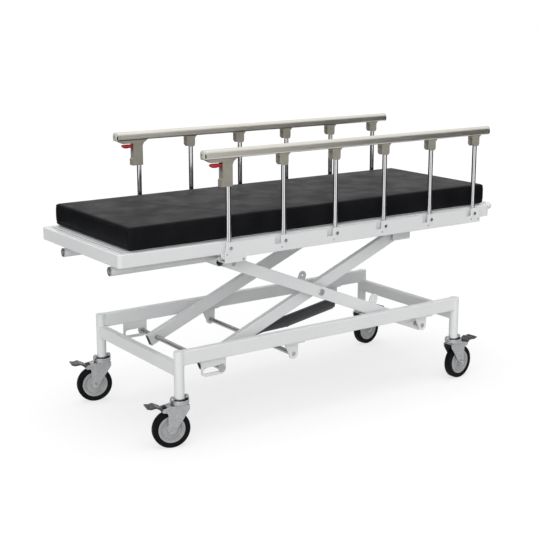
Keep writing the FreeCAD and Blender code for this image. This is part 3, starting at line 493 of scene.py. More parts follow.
zinc = zinc_plate("zinc plating", zinc_light, zinc_dark, zinc_rubbed, 0.26, 0.42)
rubber = moulded("black rubber", rubber_black, rubber_shade, 0.55, 900.0, 0.0004, 0.09)
wheel_grey = moulded("grey wheel plastic", wheel_light, wheel_shade, 0.28, 700.0, 0.0003)
pedal_dark = moulded("dark pedal plastic", pedal_light, pedal_shade, 0.34, 800.0, 0.0004)
for name in castor_names:
    hub = middle_of("castor_tyre_" + name)
    stem = Vector((math.copysign(leg_x, hub.x), math.copysign(leg_y, hub.y), 0))
    trail = Vector((hub.x - stem.x, hub.y - stem.y, 0))
    turn = Matrix.Rotation(math.atan2(trail.y, trail.x), 4, "Z")
    at_wheel = Matrix.Translation(hub) @ turn
    at_stem = Matrix.Translation(stem) @ turn
    tread_mesh = turned(tread_outline(), wheel_steps)
    tread_mesh.transform(at_wheel)
    tread = add_piece("tread_" + name, tread_mesh, "wheel_" + name, rubber)
    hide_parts("castor_tyre_" + name)
    centre_mesh = turned(rim_outline(), wheel_steps)
    centre_mesh.transform(at_wheel)
    centre = add_piece("wheel_centre_" + name, centre_mesh, "wheel_" + name, wheel_grey)
    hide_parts("castor_rim_" + name)
    dress("castor_fork_" + name, zinc)
    dress("brake_pedal_" + name, pedal_dark)
    ends = []
    for side in (0, math.pi):
        end = axle_end()
        end.transform(at_wheel @ Matrix.Rotation(side, 4, "Z") @ Matrix.Translation((0, axle_nut_face, 0)))
        ends.append(end)
    lip_level = Vector((0, 0, fork_top - swivel_lip_drop))
    lip = stood_up(turned(arc_points(swivel_radius, 0, swivel_lip_radius, 0, 330, 11), 64), lip_level)
    lip.transform(at_stem)
    add_piece("fork_fittings_" + name, joined(ends + [lip]), "castor_" + name, zinc)
    seal = stood_up(turned(seal_outline, 64), Vector((0, 0, fork_top)))
    seal.transform(at_stem)
    add_piece("race_seal_" + name, seal, "castor_" + name, rubber)
    ribs = []
    for share in (0.15, 0.45, 0.75):
        rib_x = pedal_hollow[0] + share * (pedal_end[0] - pedal_hollow[0])
        rib_z = pedal_hollow[1] + share * (pedal_end[1] - pedal_hollow[1])
        path = [Vector((rib_x, y * pedal_rib_half, rib_z)) for y in (-1, -0.97, -0.9, 0, 0.9, 0.97, 1)]
        radii = [pedal_rib_radius * size for size in (0.3, 0.8, 1, 1, 1, 0.8, 0.3)]
        ribs.append(swept(path, Vector((0, 0, 1)), radii, 10, False))
    grip = joined(ribs)
    grip.transform(at_stem)
    add_piece("pedal_ribs_" + name, grip, "pedal_" + name, pedal_dark)
    bolts = []
    for reach in (-flange_bolt_reach, flange_bolt_reach):
        seat = stem + Vector((reach, 0, flange_level - flange_bolt_sink))
        bolts += hex_bolt(seat, flange_bolt_across, flange_bolt_top, flange_bolt_washer)
    add_piece("flange_bolts_" + name, joined(bolts), "base", zinc)


def on_castor_flange(centre):
    """True for the flange, stem and bolts under a leg."""
    away = math.hypot(abs(centre.x) - leg_x, abs(centre.y) - leg_y)
    beside_leg = leg_radius + 0.001 < away < flange_reach
    return centre.z < flange_level or (beside_leg and centre.z < flange_top)


for name in ("foot_end_frame", "head_end_frame"):
    dress_where(name, zinc, on_castor_flange)

# Scissor lift
# Four rectangular steel tubes with level-cut tops cross in pairs on a shaft and turn on
# plated shafts. The inner pair slides at both ends on nylon shoes. The tubes are
# powder-coated outside and bare steel inside, where a darker colour is painted shade.
# The bore colours are bare steel darkened further: painted shade for the shade inside the open tube ends.
bore_steel_shaded = (0.15, 0.153, 0.156, 1)
bore_steel_deeper_shade = (0.09, 0.092, 0.094, 1)
arm_half_depth = 0.025
arm_wall = 0.0025
main_arm_span = (0.245, 0.275)
brace_arm_span = (0.192, 0.220)
shoe_half = 0.0045
slide_pin_reach = 0.0065
bore_margin = 0.0004
nylon_light = (0.62, 0.60, 0.54, 1)
nylon_shade = (0.56, 0.54, 0.49, 1)


centre_pivot = middle_of("centre_pivot_shaft")
base_pivot = middle_of("main_pivot_shaft")
foot_slide = middle_of("foot_slide_axle")
lean = math.atan2(centre_pivot.z - base_pivot.z, base_pivot.x - centre_pivot.x)
# The finish inside the tubes is bare steel with painted shade.
tube_inside_painted_shade = moulded("bare tube bore with painted shade", bore_steel_shaded, bore_steel_deeper_shade, 0.62, 300.0, 0.0003)
nylon = moulded("natural nylon", nylon_light, nylon_shade, 0.38, 500.0, 0.0002)


def in_bore_of(slope, span):
    """A test for faces inside an arm that leans by a slope and spans two widths from the middle."""
    def inside(centre):
        x, z = centre.x - centre_pivot.x, centre.z - centre_pivot.z
        deep = abs(x * math.sin(slope) + z * math.cos(slope))
        wide = abs(abs(centre.y) - sum(span) / 2)
        half_wide = (span[1] - span[0]) / 2
        skin = arm_wall - bore_margin
        return deep < arm_half_depth - skin and wide < half_wide - skin
    return inside


for side in sides:
    dress("main_arm_" + side, white_coat)
    dress_where("main_arm_" + side, tube_inside_painted_shade, in_bore_of(lean, main_arm_span))
    dress("brace_arm_" + side, white_coat)
    dress_where("brace_arm_" + side, tube_inside_painted_shade, in_bore_of(-lean, brace_arm_span))
for name in ("ram_mount_shaft", "main_pivot_shaft", "ram_cross_bar", "bed_pivot_shaft", "centre_pivot_shaft",
             "foot_slide_axle", "head_slide_axle"):
    dress(name, zinc)
dress_where("foot_slide_axle", nylon, lambda centre: abs(abs(centre.y) - bracket_y) < shoe_half + 0.0001
            and math.hypot(centre.x - foot_slide.x, centre.z - foot_slide.z) > slide_pin_reach)

# Hydraulic ram
# A dark painted pump body with a long taper hangs between the base shaft and the cross
# bar of the main arms. Its ground steel rod slides in a gland with a rubber wiper.
ram_paint = (0.075, 0.078, 0.083, 1)
ram_shade = (0.045, 0.047, 0.05, 1)
rod_radius = 0.009
gland_face = 0.454
gland_radius = 0.019
barrel_radius = 0.025
barrel_start = 0.192
ram_weld_radius = 0.0013
rod_steel_grey = (0.66, 0.66, 0.67, 1)


def bright_steel(name, colour, roughness, grain):
    """Ground and polished metal, with hair-fine lines along the piece."""
    finish, parts, links, shader = blank_finish(name)
    hairs = add_noise(parts, links, 1.0, 6.0, grain)
    darker = tuple(c * 0.88 for c in colour[:3]) + (1,)
    tone = add_ramp(parts, links, hairs.outputs["Fac"], darker, colour)
    links.new(tone.outputs["Color"], shader.inputs["Base Color"])
    rough = add_ramp(parts, links, hairs.outputs["Fac"], roughness, roughness + 0.08)
    links.new(rough.outputs["Color"], shader.inputs["Roughness"])
    add_bump(parts, links, shader, hairs.outputs["Fac"], 0.05, 0.0002)
    shader.inputs["Metallic"].default_value = 1.0
    return finish


ram_dark = powder_coat("dark ram paint", ram_paint, ram_shade, 0.001)
rod_steel = bright_steel("ground rod steel", rod_steel_grey, 0.12, (30, 900, 900))
dress("ram_cylinder", ram_dark)
dress("ram_rod", rod_steel)
ram_foot = middle_of("ram_mount_shaft")
ram_bar = middle_of("ram_cross_bar")
ram_rise = math.atan2(ram_bar.z - ram_foot.z, ram_bar.x - ram_foot.x)
along_ram = (Matrix.Translation(ram_foot) @ Matrix.Rotation(-ram_rise, 4, "Y")
             @ Matrix.Rotation(-math.pi / 2, 4, "Z"))
wiper = turned([(rod_radius + 0.0004, 0.0), (gland_radius, 0.0), (gland_radius, 0.0012),
                (rod_radius + 0.003, 0.0030), (rod_radius + 0.0004, 0.0038)], 48)
wiper.transform(along_ram @ Matrix.Translation((0, gland_face, 0)))
add_piece("ram_wiper", wiper, "ram_body", rubber)
shoulder_weld = turned(arc_points(barrel_radius, barrel_start, ram_weld_radius, 0, 315, 7), 64)
shoulder_weld.transform(along_ram)
add_piece("ram_weld", shoulder_weld, "ram_body", ram_dark)

# Bed frame
# A welded ring of rectangular tube with rounded corners carries a smooth white laminate
# board with a light grey edge band. Cross tubes, slides and two round tubes with pressed
# zinc caps hang below it, and a bent tube at the head end is the push handle.
laminate_white = (0.74, 0.75, 0.76, 1)
laminate_shade = (0.68, 0.69, 0.70, 1)
board_edge = (0.52, 0.53, 0.53, 1)
board_edge_shade = (0.46, 0.47, 0.47, 1)
board_skin = 0.0010
board_crown = 0.0016
under_cross_x = -0.510
under_bore_reach = 0.0161
under_bore_radius = 0.0164
under_cap_start = -0.9329
handle_radius = 0.014
handle_y = 0.304
handle_drop = 0.014
cap_ring_radius = 0.0011
cap_ring_shares = (0.88, 0.5)


def laminate(name):
    """High-pressure laminate: a faint pearl texture with soft gloss."""
    finish, parts, links, shader = blank_finish(name)
    fibres = add_noise(parts, links, 35.0, 6.0, (1, 3, 3))
    mixed = add_ramp(parts, links, fibres.outputs["Fac"], laminate_shade, laminate_white)
    links.new(mixed.outputs["Color"], shader.inputs["Base Color"])
    pearl = add_noise(parts, links, 650.0, 2.0)
    rough = add_ramp(parts, links, pearl.outputs["Fac"], 0.28, 0.40)
    links.new(rough.outputs["Color"], shader.inputs["Roughness"])
    add_bump(parts, links, shader, pearl.outputs["Fac"], 0.1, 0.0003, 0.001)
    return finish


bed_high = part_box("bed_frame")[1]
board_low, board_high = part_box("deck_board")
dress("bed_frame", white_coat)
dress("bed_underframe", white_coat)
dress("push_handle", white_coat)
dress("deck_board", laminate("white laminate"))
edge_band = moulded("grey edge band", board_edge, board_edge_shade, 0.4, 400.0, 0.0002)
dress_where("deck_board", edge_band,
            lambda centre: board_low.z + board_skin < centre.z < board_high.z - board_crown)
under_bores = middle_of("under_tube_left").z
# The under cross tube's open bore gets the same bare steel with painted shade.
dress_where("bed_underframe", tube_inside_painted_shade, lambda centre: abs(centre.z - under_bores) < under_bore_reach
            and math.hypot(centre.x - under_cross_x, centre.z - under_bores) < under_bore_radius)
for side in sides:
    dress("under_tube_" + side, white_coat)
    dress_where("under_tube_" + side, zinc, lambda centre: centre.x < under_cap_start)
    tube_low, tube_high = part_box("under_tube_" + side)
    tube_radius = (tube_high.z - tube_low.z) / 2
    cap_middle = middle_of("under_tube_" + side)
    cap_middle.x = tube_low.x
    cap_rings = joined([turned(arc_points(share * tube_radius, 0, cap_ring_radius, 0, 330, 11), 48)
                        for share in cap_ring_shares])
    cap_rings.transform(Matrix.Translation(cap_middle) @ Matrix.Rotation(math.pi / 2, 4, "Z"))
    add_piece("cap_rings_" + side, cap_rings, "bed", zinc)
handle_welds = []
for side_y in (-handle_y, handle_y):
    ring = [Vector((bed_high.x, side_y + handle_radius * math.cos(math.radians(angle)),
                    bed_high.z - handle_drop + handle_radius * math.sin(math.radians(angle))))
            for angle in range(0, 360, 10)]
    handle_welds.append(weld_mesh(ring, Vector((1, 0, 0))))
add_piece("handle_welds", joined(handle_welds), "bed", white_coat)

# Mattress
# A foam slab in a black coated-fabric cover, sewn from a top, a bottom and a long side
# band. The stitched seams run just inside the top and bottom edges and draw the cloth
# in a little, and the top has settled into shallow waves.
cloth_black = (0.0105, 0.0108, 0.0130, 1)
cloth_shade = (0.0065, 0.0067, 0.0082, 1)
mattress_round = 0.015
mattress_seam = 0.0165
mattress_crown = 0.0035
seam_depth = 0.0016
seam_width = 0.0022
pucker_reach = 0.014
pucker_size = 0.0009
wave_size = 0.0011
belly_size = 0.0016
cover_inset = 0.0012
crease_depth = 0.0011
crease_width = 0.010
mattress_step = 0.013
side_band_step = 0.009
stitch_pitch = 0.0055
stitch_inset = 0.0011
stitch_radius = 0.0005
stitch_shift = 0.0045
thread_black = (0.012, 0.012, 0.014, 1)
thread_shade = (0.008, 0.008, 0.010, 1)
mattress_low, mattress_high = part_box("mattress")
mattress_middle = middle_of("mattress")
mattress_half = (mattress_high - mattress_low) / 2


def vinyl_cloth():
    """Black coated cloth: a pebbled grain, small creases and slow changes in gloss."""
    finish, parts, links, shader = blank_finish("black coated cloth")
    tone = add_noise(parts, links, 7.0)
    mixed = add_ramp(parts, links, tone.outputs["Fac"], cloth_shade, cloth_black)
    links.new(mixed.outputs["Color"], shader.inputs["Base Color"])
    pebbles = add_cells(parts, links, 560.0)
    gloss = add_noise(parts, links, 11.0)
    rough = add_ramp(parts, links, gloss.outputs["Fac"], 0.40, 0.50)
    links.new(rough.outputs["Color"], shader.inputs["Roughness"])
    creases = add_noise(parts, links, 55.0, 3.0)
    fold = add_bump(parts, links, shader, creases.outputs["Fac"], 0.22, 0.0012)
    add_bump(parts, links, shader, pebbles.outputs["Distance"], 0.3, 0.0005, under=fold)
    shader.inputs["Specular IOR Level"].default_value = 0.045
    return finish


def grid_line(half, marks, coarse):
    """Cut places along one side of the slab, fine over its round edges and at the marks."""
    fine = [half - mattress_round * (1 - math.cos(math.radians(15 * i))) for i in range(7)]
    cuts = set()
    for place in fine + marks:
        cuts.update((round(place, 6), round(-place, 6)))
    inner = min(abs(place) for place in fine + marks)
    steps = max(2, round(2 * inner / coarse))
    cuts.update(round(-inner + 2 * inner * i / steps, 6) for i in range(steps + 1))
    return sorted(cuts)


def swell(spot):
    """Move a point of the plain slab to the sewn cover's surface."""
    half = mattress_half
    inner = Vector(min(max(spot[k], mattress_round - half[k]), half[k] - mattress_round) for k in range(3))
    out = (spot - inner).normalized()
    point = inner + out * mattress_round
    flank = 1 - abs(out.z)
    from_seam = abs(abs(spot.z) - (half.z - mattress_seam))
    groove = seam_depth * math.exp(-(from_seam / seam_width) ** 2) * flank
    ripple = noise.noise(Vector((spot.x, spot.y, spot.z * 0.25)) * 70) + 0.5 * noise.noise(spot * 160)
    pucker = pucker_size * ripple * math.exp(-(from_seam / pucker_reach) ** 2)
    belly = belly_size * flank * (1 - (spot.z / half.z) ** 2)
    point += out * (belly + pucker * flank - groove - cover_inset)
    if out.z > 0.5:
        along, across = abs(spot.x) / half.x, abs(spot.y) / half.y
        level = mattress_crown * ((1 - along ** 6) * (1 - across ** 6) - 1)
        slack = wave_size * noise.noise(Vector((spot.x * 3.2, spot.y * 5.5, 0.4)))
        crease_line = (spot.x + 0.60) * 0.87 + (spot.y - 0.05) * 0.5
        crease = crease_depth * math.exp(-(crease_line / crease_width) ** 2) * math.exp(-(spot.y / 0.30) ** 4)
        point.z += level + slack * (1 - along ** 8) * (1 - across ** 8) - crease
    return point


def mattress_mesh():
    """The slab's outer grid, with each point moved to the cover's surface."""
    seam = mattress_half.z - mattress_seam
    seam_marks = [seam + shift * seam_width for shift in (-2.2, -1.2, -0.5, 0, 0.5)]
    lines = [grid_line(mattress_half.x, [], mattress_step), grid_line(mattress_half.y, [], mattress_step),
             grid_line(mattress_half.z, seam_marks, side_band_step)]
    last = [len(line) - 1 for line in lines]
    work = bmesh.new()
    made = {}

    def corner(i, j, k):
        if (i, j, k) not in made:
            spot = Vector((lines[0][i], lines[1][j], lines[2][k]))
            made[i, j, k] = work.verts.new(swell(spot))
        return made[i, j, k]

    for flat in range(3):
        u, v = [axis for axis in range(3) if axis != flat]
        for end in (0, last[flat]):
            for a in range(last[u]):
                for b in range(last[v]):
                    loop = []
                    for da, db in ((0, 0), (1, 0), (1, 1), (0, 1)):
                        place = [0, 0, 0]
                        place[flat], place[u], place[v] = end, a + da, b + db
                        loop.append(corner(*place))
                    work.faces.new(loop)
    bmesh.ops.translate(work, vec=mattress_middle, verts=work.verts)
    return close_mesh(work, 1.4)


def stitch_row(level):
    """A row of short stitches round the side band, at a level."""
    turn_x = mattress_half.x - stitch_inset - mattress_round
    turn_y = mattress_half.y - stitch_inset - mattress_round
    turns = [Vector((sx * turn_x, sy * turn_y, 0)) for sx, sy in ((1, 1), (-1, 1), (-1, -1), (1, -1))]
    path = []
    for quarter, turn_point in enumerate(turns):
        for i in range(7):
            angle = math.radians(90 * quarter + 15 * i)
            path.append(turn_point + mattress_round * Vector((math.cos(angle), math.sin(angle), 0)))
    dots = even_steps(path, stitch_pitch / 4, True)
    stitches = []
    for i in range(0, len(dots) - 4, 4):
        strand = [dots[i + k] + Vector((mattress_middle.x, mattress_middle.y, level)) for k in range(3)]
        radii = [stitch_radius / 2, stitch_radius, stitch_radius / 2]
        stitches.append(swept(strand, Vector((0, 0, 1)), radii, 5, False))
    return stitches


cover_cloth = vinyl_cloth()
mattress = add_piece("mattress_cover", mattress_mesh(), "bed", cover_cloth)
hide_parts("mattress")
thread = moulded("black thread", thread_black, thread_shade, 0.7, 1500.0, 0.0002, 0.2)
stitch_levels = (mattress_high.z - mattress_seam - stitch_shift,
                 mattress_low.z + mattress_seam + stitch_shift)
stitch_mesh = joined([stitch for level in stitch_levels for stitch in stitch_row(level)])
add_piece("mattress_stitches", stitch_mesh, "bed", thread)

# Side rails
# A painted channel on each side of the bed holds six polished tube posts, which fold under
# a rounded hand rail of champagne anodised aluminium. Beige moulded forks hold the posts'
# heads, and a longer housing carries the red release lever.
rail_champagne = (0.72, 0.70, 0.64, 1)
chrome_grey = (0.80, 0.80, 0.81, 1)
beige_light = (0.345, 0.325, 0.275, 1)
beige_shade = (0.29, 0.275, 0.232, 1)
cream_light = (0.60, 0.59, 0.52, 1)
cream_shade = (0.54, 0.53, 0.47, 1)
red_light = (0.50, 0.022, 0.028, 1)
red_shade = (0.42, 0.015, 0.020, 1)
# The near-black tones of the caps' screw holes are painted shade, not a colour of their own.
hole_shade_tone = (0.03, 0.03, 0.03, 1)
hole_shade_deeper_tone = (0.02, 0.02, 0.02, 1)
rail_round = 0.015
rail_lower_round = 0.007
rail_half_width = 0.017
rail_height_top = 0.036
cap_dome = 0.0045
cap_length = 0.006
cap_stations = ((0.0, -cap_length), (0.0, 0.0), (0.0012, 0.0016), (0.004, 0.0033), (0.008, 0.0042),
                (0.0125, cap_dome))
cap_hole_outline = ((0.0030, 0.0), (0.0030, 0.0004), (0.0021, 0.0002), (0.0012, 0.0001))
post_count = 6
post_end_radius = 0.011
bolt_radius = 0.0041
bolt_head_height = 0.004
channel_screw_radius = 0.0036
channel_screw_height = 0.0018
channel_screw_place = (-0.0168, -0.024)
end_screw_place = (0.022, -0.026)
block_bolt_radius = 0.0052
block_bolt_height = 0.003
block_bolt_place = (0.058, 0.009)
rail_screw_radius = 0.0026
rail_screw_height = 0.0009
rail_screw_reach = 0.024
rail_screw_rises = (-0.008, 0.001)
housing_face = 0.0144
housing_rib_shift = 0.002
housing_rib_drop = 0.094
housing_rib_length = 0.042
housing_rib_radii = (0.0003, 0.0008, 0.0009, 0.0009, 0.0009, 0.0008, 0.0003)
groove_pitch = 0.0052
lever_eye_radius = 0.0085
lever_sides = 24
lever_square = 0.55
lever_stations = (
    (-0.0083, 0.0, 0.0030, 0.0060), (-0.0070, 0.0, 0.0060, 0.0076), (0.0, 0.0, 0.0083, 0.0078),
    (0.012, 0.0002, 0.0070, 0.0078), (0.022, 0.0, 0.0072, 0.0078), (0.032, -0.0008, 0.0082, 0.0080),
    (0.044, -0.0006, 0.0080, 0.0080), (0.052, 0.0010, 0.0062, 0.0078), (0.056, 0.0022, 0.0040, 0.0068),
    (0.0572, 0.0026, 0.0020, 0.0050))


def extruded_aluminium(name, colour):
    """Anodised extrusion: satin metal with die lines along X and a few fine grooves."""
    finish, parts, links, shader = blank_finish(name)
    hairs = add_noise(parts, links, 1.0, 6.0, (9, 800, 800))
    darker = tuple(c * 0.9 for c in colour[:3]) + (1,)
    tone = add_ramp(parts, links, hairs.outputs["Fac"], darker, colour)
    place = parts.new("ShaderNodeTexCoord")
    axes = parts.new("ShaderNodeSeparateXYZ")
    links.new(place.outputs["Object"], axes.inputs["Vector"])
    from_groove = add_math(parts, links, "PINGPONG", axes.outputs["Z"], groove_pitch)
    share = add_math(parts, links, "DIVIDE", from_groove, groove_pitch)
    line = add_ramp(parts, links, share, 0.0, 1.0, 0.02, 0.09)
    links.new(tone.outputs["Color"], shader.inputs["Base Color"])
    rough = add_ramp(parts, links, hairs.outputs["Fac"], 0.36, 0.46)
    links.new(rough.outputs["Color"], shader.inputs["Roughness"])
    scored = add_bump(parts, links, shader, line.outputs["Color"], 0.12, 0.0003)
    add_bump(parts, links, shader, hairs.outputs["Fac"], 0.06, 0.0003, under=scored)
    shader.inputs["Metallic"].default_value = 1.0
    return finish


def rail_section(inset):
    """The hand rail's rounded section as (across, up) points, drawn in on every side."""
    points = []
    corners = ((1, 1, rail_round), (-1, 1, rail_round), (-1, -1, rail_lower_round), (1, -1, rail_lower_round))
    for quarter, (across, up, radius) in enumerate(corners):
        for i in range(9):
            angle = math.radians(90 * quarter + 90 * i / 8)
            turn_radius = max(radius - inset, 0.0004)
            keep = radius if radius > inset else inset + 0.0004
            points.append((across * (rail_half_width - keep) + turn_radius * math.cos(angle),
                           up * (rail_height_top / 2 - keep) + turn_radius * math.sin(angle)))
    return points


def end_cap(face_x, outward, y, middle_z):
    """A domed cap over the rail's end. The screw hole in its middle is not cut here: a near-black disc laid
    on later is painted shade.
    """
    rings = [[(face_x + outward * rise, y + across, middle_z + up) for across, up in rail_section(inset)]
             for inset, rise in cap_stations]
    return lofted(rings, False, 0.8)


def lever_mesh(pivot):
    """The moulded lever as a loft of rounded sections, from behind its pin to the paddle's tip."""
    rings = []
    for reach, rise, half_high, half_wide in lever_stations:
        ring = []
        for i in range(lever_sides):
            angle = 2 * math.pi * i / lever_sides
            across, up = math.cos(angle), math.sin(angle)
            aside = half_wide * math.copysign(abs(across) ** lever_square, across)
            above = half_high * math.copysign(abs(up) ** lever_square, up)
            ring.append((pivot.x - reach, pivot.y + aside, pivot.z + rise + above))
        rings.append(ring)
    return lofted(rings, False, 0.9)


def pan_screw(place, facing, radius, height):
    """A low domed screw head that faces left or right, with a cross recess left as a dimple."""
    outline = [(radius, 0), (radius, height * 0.35), (radius * 0.85, height * 0.8), (radius * 0.5, height),
               (radius * 0.34, height), (radius * 0.2, height * 0.45)]
    head = turned(outline, 20, False, 0.9)
    head.transform(Matrix.Translation(place) @ Matrix.Rotation(0 if facing > 0 else math.pi, 4, "Z"))
    return head


post_chrome = bright_steel("polished post", chrome_grey, 0.07, (900, 900, 25))
rail_metal = extruded_aluminium("champagne aluminium", rail_champagne)
beige = moulded("beige plastic", beige_light, beige_shade, 0.42, 600.0, 0.0003)
cap_cream = moulded("cream cap plastic", cream_light, cream_shade, 0.36, 500.0, 0.0002)
red = moulded("red plastic", red_light, red_shade, 0.32, 500.0, 0.0001)
# The caps' screw holes take a near-black finish, which is painted shade.
hole_shade_finish = moulded("painted hole shade", hole_shade_tone, hole_shade_deeper_tone, 0.8, 300.0, 0.0002)
for side, facing in sides.items():
    channel_low, channel_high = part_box("side_channel_" + side)
    post_middles = [middle_of("post_" + side + "_" + str(number)) for number in range(1, post_count + 1)]
    bolt_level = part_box("post_" + side + "_1")[0].z + post_end_radius
    outer_face = max(abs(channel_low.y), abs(channel_high.y)) - bolt_head_height

    def on_bolt(centre, level=bolt_level, face=outer_face, xs=tuple(m.x for m in post_middles)):
        """True for the posts' bolts and their heads."""
        near = min(math.hypot(centre.x - x, centre.z - level) for x in xs)
        return abs(centre.y) > face + 0.0002 or near < bolt_radius

    dress("side_channel_" + side, white_coat)
    dress_where("side_channel_" + side, zinc, on_bolt)
    screws = []
    for middle in post_middles:
        spot = Vector((middle.x + channel_screw_place[0], facing * outer_face,
                       bolt_level + channel_screw_place[1]))
        screws.append(pan_screw(spot, facing, channel_screw_radius, channel_screw_height))
    block_spot = Vector((post_middles[0].x + block_bolt_place[0], facing * outer_face,
                         channel_low.z + block_bolt_place[1]))
    screws.append(pan_screw(block_spot, facing, block_bolt_radius, block_bolt_height))
    end_spot = Vector((post_middles[-1].x + end_screw_place[0], facing * outer_face,
                       bolt_level + end_screw_place[1]))
    screws.append(pan_screw(end_spot, facing, channel_screw_radius, channel_screw_height))
    add_piece("channel_screws_" + side, joined(screws), "bed", zinc)
    for number in range(1, post_count + 1):
        dress("post_" + side + "_" + str(number), post_chrome)
    dress("top_rail_" + side, rail_metal)
    dress("post_brackets_" + side, beige)
    lever_low, lever_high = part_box("release_lever_" + side)
    lever_pivot = Vector((lever_high.x - lever_eye_radius, (lever_low.y + lever_high.y) / 2,
                          lever_high.z - lever_eye_radius))
    lever = add_piece("lever_grip_" + side, lever_mesh(lever_pivot), "lever_" + side, red)
    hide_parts("release_lever_" + side)

    rail_low, rail_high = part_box("top_rail_" + side)
    rail_middle_x, rail_y, rail_z = middle_of("top_rail_" + side)
    plain_half = (rail_high.x - rail_low.x) / 2 - cap_length + 0.0001
    dress_where("top_rail_" + side, cap_cream,
                lambda centre, middle=rail_middle_x, half=plain_half: abs(centre.x - middle) >= half)
    caps = [end_cap(rail_low.x, -1, rail_y, rail_z), end_cap(rail_high.x, 1, rail_y, rail_z)]
    add_piece("rail_caps_" + side, joined(caps), "rail_" + side, cap_cream)
    # A thin near-black disc at each cap's middle paints the shade of its screw hole.
    holes = []
    for face_x, outward in ((rail_low.x, -1), (rail_high.x, 1)):
        hole = turned(cap_hole_outline, 24, False)
        hole.transform(Matrix.Translation((face_x + outward * (cap_dome - 0.0001), rail_y, rail_z))
                       @ Matrix.Rotation(-outward * math.pi / 2, 4, "Z"))
        holes.append(hole)
    add_piece("cap_hole_shades_" + side, joined(holes), "rail_" + side, hole_shade_finish)
    screw_y = rail_y + facing * rail_half_width
    rail_screws = [pan_screw(Vector((rail_low.x + rail_screw_reach, screw_y, rail_z + rise)), facing,
                             rail_screw_radius, rail_screw_height) for rise in rail_screw_rises]
    add_piece("rail_screws_" + side, joined(rail_screws), "rail_" + side, zinc)
    ribs = []
    for face in (-1, 1):
        rib_y = rail_y + face * housing_face
        levels = [rail_low.z - housing_rib_drop + housing_rib_length * i / 6 for i in range(7)]
        path = [Vector((post_middles[0].x + housing_rib_shift, rib_y, z)) for z in levels]
        ribs.append(swept(path, Vector((0, face, 0)), housing_rib_radii, 8, False))
    add_piece("housing_ribs_" + side, joined(ribs), "rail_" + side, beige)

# Studio
# A white sweep of floor, soft light from all round, from above and from the camera's side,
# and dark drapes between bright gaps, which only show as streaks in polished metal. The
# camera stands where the photograph was taken from.
floor_half = 40.0
floor_tone = 0.36
floor_lift = 0.66
sky_strength = 0.58
lamps = {"overhead": ((0.10, 0.12, -1.0), 1.1, 50), "front": ((0.62, 0.74, -0.26), 1.3, 40)}
camera_place = (-2.8603, -4.0170, 1.6980)
camera_yaw = 34.83
camera_pitch = 12.32
camera_focal = 77.75
camera_sensor = 36.0
camera_shift = -0.0342
drape_spans = ((0, 9), (105, 45), (-105, 45))
drape_distance = 6.2
drape_foot_distance = 2.4
drape_foot_level = 0.003
drape_high = 3.2


def background_rays(parts, links):
    """A value that is one for the rays that see the background: camera, gloss and glass."""
    path = parts.new("ShaderNodeLightPath")
    seen = add_math(parts, links, "MAXIMUM", path.outputs["Is Camera Ray"], path.outputs["Is Glossy Ray"])
    return add_math(parts, links, "MAXIMUM", seen, path.outputs["Is Transmission Ray"])


def studio_floor():
    """A wide floor sheet that looks white where no shadow falls on it."""
    work = bmesh.new()
    corners = ((-1, -1), (1, -1), (1, 1), (-1, 1))
    work.faces.new([work.verts.new((x * floor_half, y * floor_half, 0)) for x, y in corners])
    sheet = placed("floor", close_mesh(work))
    finish, parts, links, shader = blank_finish("pale floor")
    shader.inputs["Base Color"].default_value = (floor_tone, floor_tone, floor_tone, 1)
    shader.inputs["Roughness"].default_value = 1.0
    shader.inputs["Specular IOR Level"].default_value = 0.0
    shader.inputs["Emission Color"].default_value = (1, 1, 1, 1)
    glow = add_math(parts, links, "MULTIPLY", background_rays(parts, links), floor_lift)
    links.new(glow, shader.inputs["Emission Strength"])
    sheet.data.materials.append(finish)


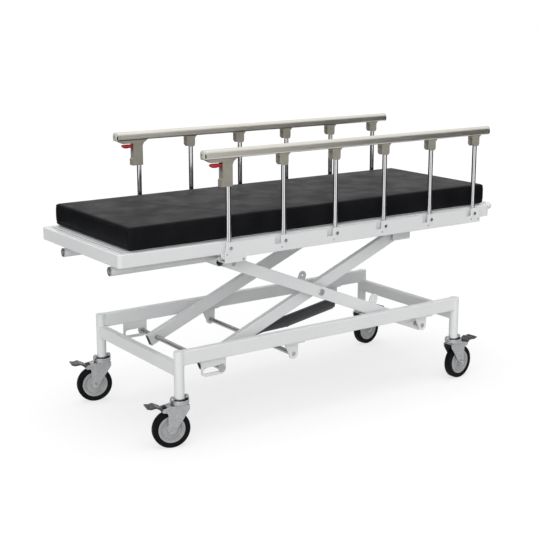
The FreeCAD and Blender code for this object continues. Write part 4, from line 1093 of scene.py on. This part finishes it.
def studio_sky():
    """Soft light from all round. The camera, gloss and glass see plain white."""
    world = bpy.data.worlds.new("studio")
    bpy.context.scene.world = world
    world.use_nodes = True
    parts, links = world.node_tree.nodes, world.node_tree.links
    soft = parts["Background"]
    soft.inputs["Color"].default_value = (1, 1, 1, 1)
    soft.inputs["Strength"].default_value = sky_strength
    white = parts.new("ShaderNodeBackground")
    white.inputs["Color"].default_value = (1, 1, 1, 1)
    white.inputs["Strength"].default_value = 1.0
    choose = parts.new("ShaderNodeMixShader")
    links.new(background_rays(parts, links), choose.inputs["Fac"])
    links.new(soft.outputs["Background"], choose.inputs[1])
    links.new(white.outputs["Background"], choose.inputs[2])
    links.new(choose.outputs["Shader"], parts["World Output"].inputs["Surface"])


def studio_drapes():
    """Dark drapes, with their feet spread over the floor, seen by nothing but gloss."""
    finish, parts, links, shader = blank_finish("dark drape")
    folds = add_noise(parts, links, 3.0, 2.0, (1, 1, 0.05))
    tone = add_ramp(parts, links, folds.outputs["Fac"], 0.02, 0.05)
    links.new(tone.outputs["Color"], shader.inputs["Base Color"])
    shader.inputs["Specular IOR Level"].default_value = 0.0
    line = ((drape_foot_distance, drape_foot_level), (drape_distance, drape_foot_level),
            (drape_distance, drape_high))
    for number, (middle, reach) in enumerate(drape_spans):
        work = bmesh.new()
        columns = []
        for i in range(17):
            angle = math.radians(middle + reach * (i / 8 - 1) - 90 - camera_yaw)
            columns.append([work.verts.new((r * math.cos(angle), r * math.sin(angle), z)) for r, z in line])
        for near, far in zip(columns, columns[1:]):
            for k in range(2):
                work.faces.new((near[k], near[k + 1], far[k + 1], far[k]))
        drape = placed("drape_" + str(number + 1), close_mesh(work))
        drape.data.materials.append(finish)
        drape.visible_camera = False
        drape.visible_diffuse = False
        drape.visible_shadow = False
        drape.visible_transmission = False


def soft_sun(name, aim, strength, spread):
    """A broad, even light from one direction, with very soft shadows."""
    lamp = bpy.data.lights.new(name, "SUN")
    lamp.energy = strength
    lamp.angle = math.radians(spread)
    placed(name, lamp).rotation_euler = Vector(aim).to_track_quat("-Z", "Y").to_euler()


studio_floor()
studio_sky()
studio_drapes()
for name, (aim, strength, spread) in lamps.items():
    soft_sun(name, aim, strength, spread)

lens = bpy.data.cameras.new("camera")
lens.lens = camera_focal
lens.sensor_width = camera_sensor
lens.shift_y = camera_shift
camera = placed("camera", lens)
camera.location = camera_place
camera.rotation_euler = (math.radians(90 - camera_pitch), 0, math.radians(-camera_yaw))
bpy.context.scene.camera = camera
bpy.context.scene.view_settings.view_transform = "Standard"
